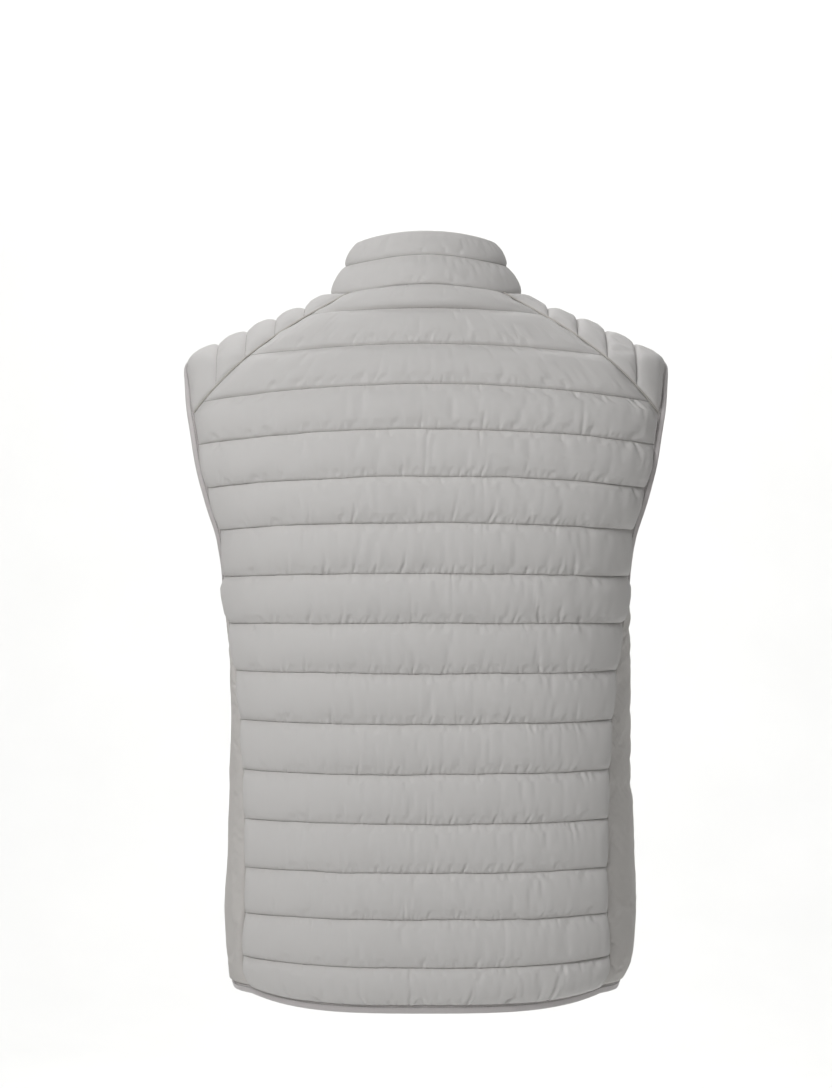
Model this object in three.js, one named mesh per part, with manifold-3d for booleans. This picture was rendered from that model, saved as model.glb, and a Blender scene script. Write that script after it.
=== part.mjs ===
// Quilted sleeveless vest, worn and zipped up: a hollow shell of padded cloth, open at neck, armholes and
// hem.
// Millimetres, +Z up. The vest faces -Y and its left side is +X.
// The origin lies between the shoulders, level with the side of the neck seam.

import * as THREE from "three";
import Module from "manifold-3d";

const wasm = await Module();
wasm.setup();

// Cloth thicknesses
const SEAM_WALL = 2; // wall where stitches press the padding flat
const SEAM_GAP = 0.4; // between a panel's edge and the binding, collar or zip on it
const EDGE_TRIM = 0.35; // each panel stops this short of the seam line
const BODY_PUFF = 6.5; // crown of a body channel above its stitches
const SHOULDER_PUFF = 5; // crown of a shoulder channel
const CROWN_SHARE = 0.38; // a channel hangs: it is thickest this far up from its lower row of stitches
const SIDE_PUFF = 3.5; // padding of the plain side panels
const COLLAR_PUFF = 4.5; // crown of a collar channel
const COLLAR_TOP_WALL = 4; // the collar's top is a fold, so it is thicker than a seam
const COLLAR_TOP_PUFF_SHARE = 0.35; // and keeps this much of the padding
const RIM = 14; // a channel falls to its end seam over this length

// Horizontal sections of the form through the stitches, from the hem up: half width, how far back and forward
// it reaches, and the power of its rounded outline (2 is an ellipse, more is squarer).
const MIDDLE_Y = -3;
const SECTIONS = [
  { z: -700, width: 184, back: 103, front: -115, power: 2.4 },
  { z: -681, width: 186, back: 107, front: -118, power: 2.4 },
  { z: -666, width: 190.5, back: 110, front: -122, power: 2.45 },
  { z: -648, width: 196.5, back: 112, front: -125, power: 2.5 },
  { z: -625, width: 198.5, back: 111, front: -127, power: 2.5 },
  { z: -590, width: 198.5, back: 109, front: -128, power: 2.5 },
  { z: -540, width: 196.5, back: 106, front: -130, power: 2.5 },
  { z: -470, width: 194, back: 104, front: -133, power: 2.5 },
  { z: -400, width: 193, back: 106, front: -137, power: 2.5 },
  { z: -340, width: 194.5, back: 110, front: -141, power: 2.5 },
  { z: -290, width: 198, back: 115, front: -143, power: 2.5 },
  { z: -240, width: 206.5, back: 118, front: -143, power: 2.5 },
  { z: -202, width: 221, back: 118, front: -140, power: 2.5 },
  { z: -167, width: 231.5, back: 116, front: -134, power: 2.5 },
  { z: -135, width: 236.5, back: 111, front: -126, power: 2.5 },
  { z: -110, width: 238, back: 106, front: -117, power: 2.5 },
  { z: -85, width: 237, back: 99, front: -105, power: 2.4 },
  { z: -72, width: 235, back: 95, front: -98, power: 2.35 },
  { z: -66, width: 231.5, back: 92.5, front: -95, power: 2.3 },
  { z: -61.5, width: 225, back: 90.5, front: -92, power: 2.25 },
  { z: -50, width: 202, back: 86, front: -86, power: 2.2 },
  { z: -37, width: 174, back: 81, front: -79, power: 2.15 },
  { z: -25, width: 146, back: 76, front: -73, power: 2.1 },
  { z: -14, width: 118, back: 72, front: -67, power: 2.05 },
  { z: -1, width: 94, back: 67, front: -60, power: 2 },
  { z: 6, width: 87, back: 64, front: -56, power: 2 },
  { z: 16, width: 79, back: 59, front: -50, power: 2 },
];

// Quilting: the channels' heights at the centre back, from the hem seam up to the neck seam.
const HEM_SEAM_Z = -681;
const CHANNEL_HEIGHTS = [36, 45, 44, 46, 47, 48, 48, 48, 47, 48, 44, 45, 43, 39, 35, 23];
// Each row of stitches sinks by its drop at DROP_X from the centre line, and rises where that is negative.
// The higher its bend, the longer it stays level first.
const DROP_X = 200;
const DROPS = [
  { z: -681, drop: -25, bend: 4 },
  { z: -645, drop: -9, bend: 3.2 },
  { z: -600, drop: -3, bend: 2.4 },
  { z: -460, drop: -3, bend: 2 },
  { z: -367, drop: -1.5, bend: 2 },
  { z: -319, drop: 1.6, bend: 2 },
  { z: -272, drop: 3.5, bend: 2 },
  { z: -224, drop: 6.5, bend: 2 },
  { z: -180, drop: 9, bend: 2 },
  { z: -135, drop: 11, bend: 2 },
  { z: -92, drop: 13, bend: 2 },
  { z: 6, drop: 14, bend: 2 },
];

// Armhole outline as seen from the side
const ARMHOLE = { y: -6, z: -181, halfDepth: 60, halfHeight: 119, power: 2.2 };
const UNDERARM_SEAM_Z = -286; // both side seams meet the armhole here
const UNDERARM_BLEND = 80; // the side panel's rows turn into the armhole's curve over this height

// Side seams: distance before and behind the armhole's middle, as seen from the side
const SIDE_SEAM = [
  { z: -700, y: 60 },
  { z: -665, y: 67 },
  { z: -600, y: 71 },
  { z: -505, y: 64 },
  { z: -404, y: 56 },
  { z: -337, y: 46 },
  { z: -286, y: 31.5 },
];

// Shoulder seams, back and front: straight from the neck seam at first, then ever steeper
const BACK_SHOULDER_SEAM = { x: 72, z: 0, slope: 0.55, curl: 9.75e-6 };
const FRONT_SHOULDER_SEAM = { x: 84, z: -16, slope: 0.58, curl: 9e-6 };
const SHOULDER_STITCHES_X = [118, 146, 174, 202]; // rows of stitches that run over the shoulder
const ARCH_Z = -120; // the shoulder is measured by its angle round this height

// Neck seam and the collar's top edge, as ovals seen from above
const NECK = { halfWidth: 92, y: 5, back: 59, front: 105 };
const COLLAR_TOP = { halfWidth: 67, y: -6, back: 50, front: 73 };
const COLLAR_TOP_Z = { back: 59, side: 51, front: -15 };
const COLLAR_STITCH_SHARE = 0.55; // the collar's row of stitches, as a share of its height

// Bindings, piping and zip
const ARMHOLE_BINDING = { wide: 6.6, above: 0.9, below: 2.9 };
const HEM_BINDING = { wide: 8.5, above: 0.9, below: 2.9 };
const PIPING_RADIUS = 1.1;
const PIPING_LIFT = 1.9; // the piping's middle above the seam
const PIPING_STEPS = 14;
const PIPING_SIDES = 8;
const ZIP_EDGE_X = 8; // the fronts stop here
const ZIP_TAPE = { from: 3.2, to: 7.7, above: -0.4, below: 1.6 };
const ZIP_CHAIN = { halfWidth: 2.8, above: 0.6, below: 1.6 };
const ZIP_BOX = { halfWidth: 2.8, long: 10, above: 1.2, below: 2.2 };
const STRIP_CORNER_SHARE = 0.28; // a binding's rounded corners, as a share of its thickness
const SLIDER_BELOW_TOP = 11; // from the collar's top edge down to the middle of the slider

const CLOTH = new THREE.MeshStandardMaterial({ color: 0xb8b4af, roughness: 0.55, metalness: 0 });
const SIDE_CLOTH = new THREE.MeshStandardMaterial({ color: 0xaea9a4, roughness: 0.6, metalness: 0 });
const BINDING = new THREE.MeshStandardMaterial({ color: 0xb4b2b0, roughness: 0.65, metalness: 0 });
const ZIP_CLOTH = new THREE.MeshStandardMaterial({ color: 0xa29e9a, roughness: 0.8, metalness: 0 });
const ZIP_PLASTIC = new THREE.MeshStandardMaterial({ color: 0x98948f, roughness: 0.4, metalness: 0 });
const ZIP_METAL = new THREE.MeshStandardMaterial({ color: 0x8d8b88, roughness: 0.35, metalness: 0.9 });

const BACK = 1;
const FRONT = -1;
const LEFT = 1;
const RIGHT = -1;

// Tolerances, and the limits between which crossings of seams are sought
const ON_SEAM = 0.5; // a point this near counts as on a seam
const ROWS_APART = 2; // no two rows lie closer
const TOP_SEARCH_Z = -150;
const SHOULDER_SEARCH_Z = -70;
const EDGE_SEARCH_X = [20, 236];

// A smooth curve through one column of a table whose rows are in the order of z.
function curve(table, column) {
  const at = table.map((row) => row.z);
  const value = table.map((row) => row[column]);
  const last = at.length - 1;
  const slope = value.map((_, i) => {
    const before = Math.max(i - 1, 0);
    const after = Math.min(i + 1, last);
    return (value[after] - value[before]) / (at[after] - at[before]);
  });
  return (z) => {
    const inside = Math.min(Math.max(z, at[0]), at[last]);
    let i = 0;
    while (i < last - 1 && inside > at[i + 1]) i += 1;
    const span = at[i + 1] - at[i];
    const t = (inside - at[i]) / span;
    const u = 1 - t;
    const ends = value[i] * (1 + 2 * t) * u * u + value[i + 1] * t * t * (3 - 2 * t);
    return ends + span * (slope[i] * t * u * u - slope[i + 1] * t * t * u);
  };
}

// The value between low and high at which a test turns from false to true.
function turning(test, low, high) {
  let before = low;
  let after = high;
  for (let i = 0; i < 44; i += 1) {
    const middle = (before + after) / 2;
    if (test(middle)) after = middle;
    else before = middle;
  }
  return (before + after) / 2;
}

const mix = (a, b, t) => a + (b - a) * t;
const every = (count) => [...Array(count).keys()];
const everySecond = (count) => every(count).filter((i) => i % 2 === 0 || i === count - 1);
const smoothStep = (t) => {
  const held = Math.min(Math.max(t, 0), 1);
  return held * held * (3 - 2 * held);
};
// What is left of one half axis of a rounded outline when the other is used up to a share.
const remainder = (share, power) => Math.max(0, 1 - Math.abs(share) ** power) ** (1 / power);

// The form: which points lie on it, and which way it faces
const width = curve(SECTIONS, "width");
const backY = curve(SECTIONS, "back");
const frontY = curve(SECTIONS, "front");
const power = curve(SECTIONS, "power");
const depth = (z, face) => (face > 0 ? backY(z) - MIDDLE_Y : MIDDLE_Y - frontY(z));

function faceY(x, z, face) {
  return MIDDLE_Y + face * depth(z, face) * remainder(x / width(z), power(z));
}

function sideX(y, z) {
  return width(z) * remainder((y - MIDDLE_Y) / depth(z, y - MIDDLE_Y), power(z));
}

function outsideForm(x, y, z) {
  const acrossShare = Math.abs(x) / width(z);
  const depthShare = Math.abs(y - MIDDLE_Y) / depth(z, y - MIDDLE_Y);
  return acrossShare ** power(z) + depthShare ** power(z) - 1;
}

function topZ(x, y) {
  return turning((z) => outsideForm(x, y, z) > 0, TOP_SEARCH_Z, SECTIONS.at(-1).z);
}

function outward(p) {
  const step = 0.5;
  return new THREE.Vector3(
    outsideForm(p.x + step, p.y, p.z) - outsideForm(p.x - step, p.y, p.z),
    outsideForm(p.x, p.y + step, p.z) - outsideForm(p.x, p.y - step, p.z),
    outsideForm(p.x, p.y, p.z + step) - outsideForm(p.x, p.y, p.z - step),
  ).normalize();
}

const onFace = (x, z, face) => new THREE.Vector3(x, faceY(x, z, face), z);
const onSide = (y, z) => new THREE.Vector3(sideX(y, z), y, z);

// Seam lines on the form, for the left half
const drop = curve(DROPS, "drop");
const bend = curve(DROPS, "bend");
const stitchZ = (level, x) => level - drop(level) * Math.abs(x / DROP_X) ** bend(level);

function armholeY(z) {
  return ARMHOLE.halfDepth * remainder((z - ARMHOLE.z) / ARMHOLE.halfHeight, ARMHOLE.power);
}

const armholeX = (z, face) => sideX(ARMHOLE.y + face * armholeY(z), z);

// A point of the armhole; the angle runs from the shoulder (0) by the back (90 degrees) to the underarm.
function armholePoint(angle) {
  const round = (value) => Math.sign(value) * Math.abs(value) ** (2 / ARMHOLE.power);
  return onSide(
    ARMHOLE.y + ARMHOLE.halfDepth * round(Math.sin(angle)),
    ARMHOLE.z + ARMHOLE.halfHeight * round(Math.cos(angle)),
  );
}

const sideSeamDepth = curve(SIDE_SEAM, "y");
const sideSeamX = (z, face) => sideX(ARMHOLE.y + face * sideSeamDepth(z), z);

const shoulderSeam = (face) => (face > 0 ? BACK_SHOULDER_SEAM : FRONT_SHOULDER_SEAM);

function shoulderSeamZ(x, face) {
  const seam = shoulderSeam(face);
  const along = x - seam.x;
  return seam.z - seam.slope * along - seam.curl * Math.max(along, 0) ** 3;
}

const shoulderSeamX = (z, face) => turning((x) => shoulderSeamZ(x, face) < z, ...EDGE_SEARCH_X);

// The neck seam; the angle runs from the centre back (0) by the left side (90 degrees) to the centre front.
function neckPoint(angle) {
  const x = NECK.halfWidth * Math.sin(angle);
  const y = NECK.y + (Math.cos(angle) > 0 ? NECK.back : NECK.front) * Math.cos(angle);
  return new THREE.Vector3(x, y, topZ(x, y));
}

// Where the seams meet
const shoulderEndZ = (face) =>
  turning((z) => z > shoulderSeamZ(armholeX(z, face), face), UNDERARM_SEAM_Z, SHOULDER_SEARCH_Z);
const backNeckCorner = turning((a) => neckPoint(a).z > shoulderSeamZ(neckPoint(a).x, BACK), 0.4, 1.4);
const frontNeckCorner = turning((a) => neckPoint(a).z < shoulderSeamZ(neckPoint(a).x, FRONT), 1.7, 2.6);
const zipNeckAngle = Math.PI - Math.asin(ZIP_EDGE_X / NECK.halfWidth);

// The outer edge of a back or front panel at a height: side seam, then armhole, then shoulder seam.
function panelEdgeX(z, face) {
  if (z < UNDERARM_SEAM_Z) return sideSeamX(z, face);
  return z < shoulderEndZ(face) ? armholeX(z, face) : shoulderSeamX(z, face);
}

const rowEndX = (level, face) =>
  turning((x) => x > panelEdgeX(stitchZ(level, x), face), ...EDGE_SEARCH_X);
const levelThrough = (p) => turning((level) => stitchZ(level, p.x) > p.z, HEM_SEAM_Z, 30);

// Rows of a quilted panel. Each has its level, and its share of the way up its channel.
const STITCH_LEVELS = CHANNEL_HEIGHTS.reduce(
  (levels, height) => [...levels, levels.at(-1) + height],
  [HEM_SEAM_Z],
);
const CROWN_POWER = Math.log(0.5) / Math.log(CROWN_SHARE);
const CHANNEL_SHARES = [0, 0.08, CROWN_SHARE, 0.82];
// Cells along a row
const BACK_CELLS = 14;
const FRONT_CELLS = 6;
const SIDE_CELLS = 6;
const SHOULDER_CELLS = 10;

function channelOf(level) {
  let channel = 0;
  while (channel < CHANNEL_HEIGHTS.length - 1 && level > STITCH_LEVELS[channel + 1] - 1e-6) channel += 1;
  return { channel, share: (level - STITCH_LEVELS[channel]) / CHANNEL_HEIGHTS[channel] };
}

// Levels of the rows up to a top level: four to each channel, and those that pass through a corner.
function rowLevels(top, corners) {
  const levels = CHANNEL_HEIGHTS.flatMap((height, i) =>
    CHANNEL_SHARES.map((share) => {
      const level = STITCH_LEVELS[i] + share * height;
      return { level, kept: share === 0 || level > UNDERARM_SEAM_Z };
    }),
  ).filter(
    ({ level }) =>
      level < top - ROWS_APART && corners.every((corner) => Math.abs(corner - level) > ROWS_APART),
  );
  return [...levels, ...[...corners, top].map((level) => ({ level, kept: true }))].sort(
    (a, b) => a.level - b.level,
  );
}

// Padding: round across a channel, thickest below its middle, and falling away at the ends of it
const roundShare = (t) => Math.sqrt(Math.max(0, 1 - (1 - 2 * t ** CROWN_POWER) ** 2));
const rimShare = (distance) => Math.sqrt(Math.max(0, 1 - (1 - Math.min(distance / RIM, 1)) ** 2));

// Places of the columns from one end of a row to the other: close together at the ends, where the padding
// falls.
function columnsBetween(from, to, middleCells) {
  const length = Math.abs(to - from);
  const near = Math.min(RIM / 3 / length, 0.2);
  const far = Math.min(RIM / length, 0.4);
  const middle = every(middleCells + 1).map((i) => mix(far, 1 - far, i / middleCells));
  return [0, near, ...middle, 1 - near, 1].map((share) => mix(from, to, share));
}

// Moves a grid's outermost points in from the seam line.
function trimmed(grid) {
  const rows = grid.map((row) => row.map((p) => p.clone()));
  const lastRow = grid.length - 1;
  const lastColumn = grid[0].length - 1;
  const towards = (p, from, to) => p.add(to.clone().sub(from).setLength(EDGE_TRIM));
  grid.forEach((row, r) => {
    towards(rows[r][0], row[0], row[1]);
    towards(rows[r][lastColumn], row[lastColumn], row[lastColumn - 1]);
  });
  grid[0].forEach((_, c) => {
    towards(rows[0][c], grid[0][c], grid[1][c]);
    towards(rows[lastRow][c], grid[lastRow][c], grid[lastRow - 1][c]);
  });
  return rows;
}

// Distance of each point from the nearer end of its row.
function endDistances(grid) {
  return grid.map((row) => {
    const along = [0];
    row.slice(1).forEach((p, i) => along.push(along[i] + p.distanceTo(row[i])));
    return along.map((distance) => Math.min(distance, along.at(-1) - distance));
  });
}

// A mesh geometry from points and triangles, with its faces turned out.
function closedGeometry(points, triangles) {
  let volume = 0;
  for (const [a, b, c] of triangles) {
    volume += points[a].dot(points[b].clone().cross(points[c]));
  }
  const turned = volume < 0 ? triangles.map(([a, b, c]) => [a, c, b]) : triangles;
  const geometry = new THREE.BufferGeometry();
  const positions = points.flatMap((p) => p.toArray());
  geometry.setAttribute("position", new THREE.Float32BufferAttribute(positions, 3));
  geometry.setIndex(turned.flat());
  geometry.computeVertexNormals();
  return geometry;
}

// A closed wall between a fine outer grid and a plain inner one, which has only the kept rows and columns.
function wallGeometry(outer, inner, keptRows, keptColumns) {
  const columns = outer[0].length;
  const points = outer.flat();
  const outerAt = (r, c) => r * columns + c;
  const innerIndex = new Map();
  keptRows.forEach((r) =>
    keptColumns.forEach((c) => {
      innerIndex.set(outerAt(r, c), points.length);
      points.push(inner[r][c]);
    }),
  );
  const innerAt = (r, c) => innerIndex.get(outerAt(r, c));
  const triangles = [];
  const quad = (a, b, c, d) => triangles.push([a, b, c], [a, c, d]);
  for (let r = 0; r < outer.length - 1; r += 1) {
    for (let c = 0; c < columns - 1; c += 1) {
      quad(outerAt(r, c), outerAt(r, c + 1), outerAt(r + 1, c + 1), outerAt(r + 1, c));
    }
  }
  keptRows.slice(1).forEach((r, i) =>
    keptColumns.slice(1).forEach((c, j) => {
      const low = keptRows[i];
      const near = keptColumns[j];
      quad(innerAt(low, near), innerAt(r, near), innerAt(r, c), innerAt(low, c));
    }),
  );
  rimTriangles(boundaryLoop(outer.length, columns, outerAt), innerIndex, triangles);
  return closedGeometry(points, triangles);
}

// The outer grid's border, once round from its first point.
function boundaryLoop(rows, columns, outerAt) {
  const loop = [];
  for (let c = 0; c < columns; c += 1) loop.push(outerAt(0, c));
  for (let r = 1; r < rows; r += 1) loop.push(outerAt(r, columns - 1));
  for (let c = columns - 2; c >= 0; c -= 1) loop.push(outerAt(rows - 1, c));
  for (let r = rows - 2; r > 0; r -= 1) loop.push(outerAt(r, 0));
  return loop;
}

// Closes the rim: each stretch between two kept points is a pair of fans.
function rimTriangles(loop, innerIndex, triangles) {
  const count = loop.length;
  let start = 0;
  while (start < count) {
    let end = start + 1;
    while (!innerIndex.has(loop[end % count])) end += 1;
    const a = innerIndex.get(loop[start]);
    const b = innerIndex.get(loop[end % count]);
    const middle = Math.floor((start + end) / 2);
    for (let i = start; i < end; i += 1) {
      triangles.push([loop[(i + 1) % count], loop[i], i < middle ? a : b]);
    }
    triangles.push([loop[middle], a, b]);
    start = end;
  }
}

// A padded piece: its grid lies on the stitches, the outside is raised by the padding, and the inside is
// plain.
function paddedPiece(grid, normals, puff, wall, keptRows, keptColumns) {
  const raised = (height) =>
    grid.map((row, r) => row.map((p, c) => p.clone().addScaledVector(normals[r][c], height(r, c))));
  return wallGeometry(raised(puff), raised((r) => -wall(r)), keptRows, keptColumns);
}

const keptOf = (rows) => rows.flatMap((row, i) => (row.kept ? [i] : []));
const formNormals = (grid) => grid.map((row) => row.map(outward));
const mirroredTo = (side, p) => new THREE.Vector3(p.x * side, p.y, p.z);

// Back panel
const backCorners = [
  levelThrough(onFace(sideSeamX(UNDERARM_SEAM_Z, BACK), UNDERARM_SEAM_Z, BACK)),
  levelThrough(onFace(armholeX(shoulderEndZ(BACK), BACK), shoulderEndZ(BACK), BACK)),
];
const NECK_SEAM_LEVEL = STITCH_LEVELS.at(-1);

// A point of the back; in the top channel the rows turn gradually into the neck seam.
function backPoint(level, share) {
  const topStitch = STITCH_LEVELS.at(-2);
  if (level <= topStitch) {
    const x = rowEndX(level, BACK) * share;
    return onFace(x, stitchZ(level, x), BACK);
  }
  const t = (level - topStitch) / (NECK_SEAM_LEVEL - topStitch);
  const lowEnd = rowEndX(topStitch, BACK);
  const corner = neckPoint(backNeckCorner);
  const rowZ = (s) => {
    const neck = neckPoint(Math.asin((corner.x * Math.abs(s)) / NECK.halfWidth));
    return mix(stitchZ(topStitch, lowEnd * s), neck.z, t);
  };
  const end = mix(lowEnd, corner.x, t);
  const x = end * share;
  const z = rowZ(share) + share ** 4 * (shoulderSeamZ(end, BACK) - rowZ(1));
  return onFace(x, z, BACK);
}

function backGrid() {
  const rows = rowLevels(NECK_SEAM_LEVEL, backCorners);
  const grid = rows.map(({ level }) => {
    const end = backPoint(level, 1).x;
    return columnsBetween(end, -end, BACK_CELLS).map((x) => backPoint(level, x / end));
  });
  return { rows, grid: trimmed(grid) };
}

// Front panels, for the left half; the inner edge follows the zip, then the neck seam
const zipNeckPoint = neckPoint(zipNeckAngle);
const frontTopLevel = levelThrough(neckPoint(frontNeckCorner)) - 3;
const frontCorners = [
  levelThrough(onFace(sideSeamX(UNDERARM_SEAM_Z, FRONT), UNDERARM_SEAM_Z, FRONT)),
  levelThrough(onFace(armholeX(shoulderEndZ(FRONT), FRONT), shoulderEndZ(FRONT), FRONT)),
  levelThrough(zipNeckPoint),
];

function frontInnerX(level) {
  if (level <= frontCorners[2] + 1e-6) return ZIP_EDGE_X;
  const angle = turning(
    (a) => neckPoint(a).z < stitchZ(level, neckPoint(a).x),
    frontNeckCorner - 0.1,
    zipNeckAngle + 0.02,
  );
  return Math.max(neckPoint(angle).x, ZIP_EDGE_X);
}

function frontGrid() {
  const nearNeck = [2.5, 7, 12].map((above) => frontCorners[2] + above);
  const rows = rowLevels(frontTopLevel, [...frontCorners, ...nearNeck]);
  const grid = rows.map(({ level }) =>
    columnsBetween(frontInnerX(level), rowEndX(level, FRONT), FRONT_CELLS).map((x) =>
      onFace(x, stitchZ(level, x), FRONT),
    ),
  );
  return { rows, grid: trimmed(grid) };
}

// Side panels, for the left half: their rows end where the rows of the back and front do
function sideGrid(back, front) {
  const below = (p) => p.z < UNDERARM_SEAM_Z + ON_SEAM;
  const frontEnd = (level) => onFace(rowEndX(level, FRONT), stitchZ(level, rowEndX(level, FRONT)), FRONT);
  const backEnds = back.rows.map(({ level }) => backPoint(level, 1)).filter(below);
  const frontEnds = front.rows.map(({ level }) => frontEnd(level)).filter(below);
  const underarm = (share) => {
    const half = Math.PI - turning((a) => armholePoint(a).z < UNDERARM_SEAM_Z, 1, Math.PI);
    return armholePoint(Math.PI + mix(-half, half, share));
  };
  const grid = backEnds.map((from, i) => {
    const to = frontEnds[i];
    const dip = smoothStep(1 - (UNDERARM_SEAM_Z - from.z) / UNDERARM_BLEND);
    return every(SIDE_CELLS + 1).map((c) => {
      const share = c / SIDE_CELLS;
      const y = mix(mix(from.y, to.y, share), underarm(share).y, dip);
      const z = mix(from.z, to.z, share) + dip * (underarm(share).z - UNDERARM_SEAM_Z);
      return onSide(y, z);
    });
  });
  return { rows: back.rows.slice(0, grid.length), grid: trimmed(grid) };
}

// Shoulder panels, for the left half: rows run over the shoulder from the back seam to the front seam
const archAngle = (p) => Math.atan2(p.y - MIDDLE_Y, p.z - ARCH_Z);
const seamAngle = (x, face) => archAngle(onFace(x, shoulderSeamZ(x, face), face));

function onArch(x, angle) {
  const at = (r) => [x, MIDDLE_Y + r * Math.sin(angle), ARCH_Z + r * Math.cos(angle)];
  return new THREE.Vector3(...at(turning((r) => outsideForm(...at(r)) > 0, 2, 260)));
}

// The lines that part the shoulder's channels: neck seam, rows of stitches, armhole.
function shoulderLines() {
  const armholeAngle = (face) => {
    const end = shoulderEndZ(face);
    const found = turning((a) => armholePoint(a).z < end, 0.2, 2);
    return face > 0 ? found : -found;
  };
  const described = (p) => ({ x: p.x, angle: archAngle(p) });
  const overShoulder = (x) => (v) => ({ x, angle: mix(seamAngle(x, BACK), seamAngle(x, FRONT), v) });
  return [
    (v) => described(neckPoint(mix(backNeckCorner, frontNeckCorner, v))),
    ...SHOULDER_STITCHES_X.map(overShoulder),
    (v) => described(armholePoint(mix(armholeAngle(BACK), armholeAngle(FRONT), v))),
  ];
}

function shoulderGrid() {
  const lines = shoulderLines();
  const shares = CHANNEL_SHARES.map((share) => 1 - share).reverse();
  const rows = lines.slice(1).flatMap((_, i) => shares.map((share) => ({ i, share, kept: true })));
  rows.unshift({ i: 0, share: 0, kept: true });
  const grid = rows.map(({ i, share }) => {
    const at = (v) => {
      const a = lines[i](v);
      const b = lines[i + 1](v);
      return { x: mix(a.x, b.x, share), angle: mix(a.angle, b.angle, share) };
    };
    const backMiss = seamAngle(at(0).x, BACK) - at(0).angle;
    const frontMiss = seamAngle(at(1).x, FRONT) - at(1).angle;
    return every(SHOULDER_CELLS + 1).map((c) => {
      const v = c / SHOULDER_CELLS;
      const { x, angle } = at(v);
      return onArch(x, angle + mix(backMiss, frontMiss, v));
    });
  });
  return { rows, grid: trimmed(grid) };
}

// Collar: its columns stand on the neck edges of the panels, so they share those points
function collarTopPoint(angle) {
  const ends = Math.PI - Math.asin(ZIP_EDGE_X / COLLAR_TOP.halfWidth);
  const at = angle * (ends / zipNeckAngle);
  const round = Math.cos(at);
  const z = round > 0
    ? mix(COLLAR_TOP_Z.side, COLLAR_TOP_Z.back, round ** 2)
    : mix(COLLAR_TOP_Z.side, COLLAR_TOP_Z.front, round ** 2);
  return new THREE.Vector3(
    COLLAR_TOP.halfWidth * Math.sin(at),
    COLLAR_TOP.y + (round > 0 ? COLLAR_TOP.back : COLLAR_TOP.front) * round,
    z,
  );
}

function neckAngleOf(p) {
  const y = p.y - NECK.y;
  return Math.atan2(Math.abs(p.x) / NECK.halfWidth, y / (y > 0 ? NECK.back : NECK.front));
}

const COLLAR_SHARES = [0, 0.07, 0.27, 0.48, COLLAR_STITCH_SHARE, 0.6, 0.78, 0.95, 1];

function collarColumn(base) {
  const top = mirroredTo(Math.sign(base.x) || 1, collarTopPoint(neckAngleOf(base)));
  if (Math.abs(base.x) < ZIP_EDGE_X + 1) top.x = base.x;
  const start = base.clone().add(top.clone().sub(base).setLength(SEAM_GAP));
  return COLLAR_SHARES.map((share) => start.clone().lerp(top, share));
}

function collarNormals(grid) {
  return grid.map((row, r) =>
    row.map((p, c) => {
      const up = grid.at(-1)[c].clone().sub(grid[0][c]);
      const next = grid[r][Math.min(c + 1, row.length - 1)];
      const last = grid[r][Math.max(c - 1, 0)];
      const normal = next.clone().sub(last).cross(up).normalize();
      return normal.dot(new THREE.Vector3(p.x, p.y - COLLAR_TOP.y, 0)) < 0 ? normal.negate() : normal;
    }),
  );
}

function collarPuff(share) {
  if (share <= COLLAR_STITCH_SHARE) return COLLAR_PUFF * roundShare(share / COLLAR_STITCH_SHARE);
  const t = (share - COLLAR_STITCH_SHARE) / (1 - COLLAR_STITCH_SHARE);
  return COLLAR_PUFF * Math.max(roundShare(t), t > 0.5 ? COLLAR_TOP_PUFF_SHARE : 0);
}

// A strip sewn to an edge: a flat, rounded section carried along the edge's points.
function edgeStrip(edge, size, away, closed) {
  const count = edge.length;
  const at = (i) => edge[closed ? (i + count) % count : Math.min(Math.max(i, 0), count - 1)];
  const corner = STRIP_CORNER_SHARE * (size.above + size.below);
  const section = [
    [0, -size.below + corner], [corner, -size.below], [size.wide - corner, -size.below],
    [size.wide, -size.below + corner], [size.wide, size.above - corner],
    [size.wide - corner, size.above], [corner, size.above], [0, size.above - corner],
  ];
  const rings = edge.map(({ p, n }, i) => {
    const run = at(i + 1).p.clone().sub(at(i - 1).p).normalize();
    const off = run.cross(n).normalize();
    if (off.dot(away(p)) < 0) off.negate();
    return section.map(([across, out]) =>
      p.clone().addScaledVector(off, SEAM_GAP + across).addScaledVector(n, out),
    );
  });
  return loftGeometry(rings, closed);
}

// Joins rings of points, and caps the ends where the run isn't closed.
function loftGeometry(rings, closed) {
  const sides = rings[0].length;
  const points = rings.flat();
  const triangles = [];
  const last = closed ? rings.length : rings.length - 1;
  for (let i = 0; i < last; i += 1) {
    const j = (i + 1) % rings.length;
    for (let k = 0; k < sides; k += 1) {
      const l = (k + 1) % sides;
      triangles.push([i * sides + k, j * sides + k, j * sides + l]);
      triangles.push([i * sides + k, j * sides + l, i * sides + l]);
    }
  }
  if (!closed) {
    const end = (rings.length - 1) * sides;
    for (let k = 1; k < sides - 1; k += 1) {
      triangles.push([0, k, k + 1]);
      triangles.push([end, end + k + 1, end + k]);
    }
  }
  return closedGeometry(points, triangles);
}

const withNormals = (points) => points.map((p) => ({ p, n: outward(p) }));
const mirroredEdge = (edge) => edge.map(({ p, n }) => ({ p: mirroredTo(-1, p), n: mirroredTo(-1, n) }));

// Drops points that lie almost on the one before them, as at a seam's two sides.
const SEAM_POINTS_APART = 1.5;
const spacedOut = (points) =>
  points.filter((p, i) => i === 0 || p.distanceTo(points[i - 1]) > SEAM_POINTS_APART);

// All the panels' grids
const back = backGrid();
const front = frontGrid();
const side = sideGrid(back, front);
const shoulder = shoulderGrid();

const column = (grid, c) => grid.map((row) => row.at(c));
const isArmhole = (face) => (p) =>
  p.z > UNDERARM_SEAM_Z - ON_SEAM && p.z < shoulderEndZ(face) + ON_SEAM;

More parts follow.
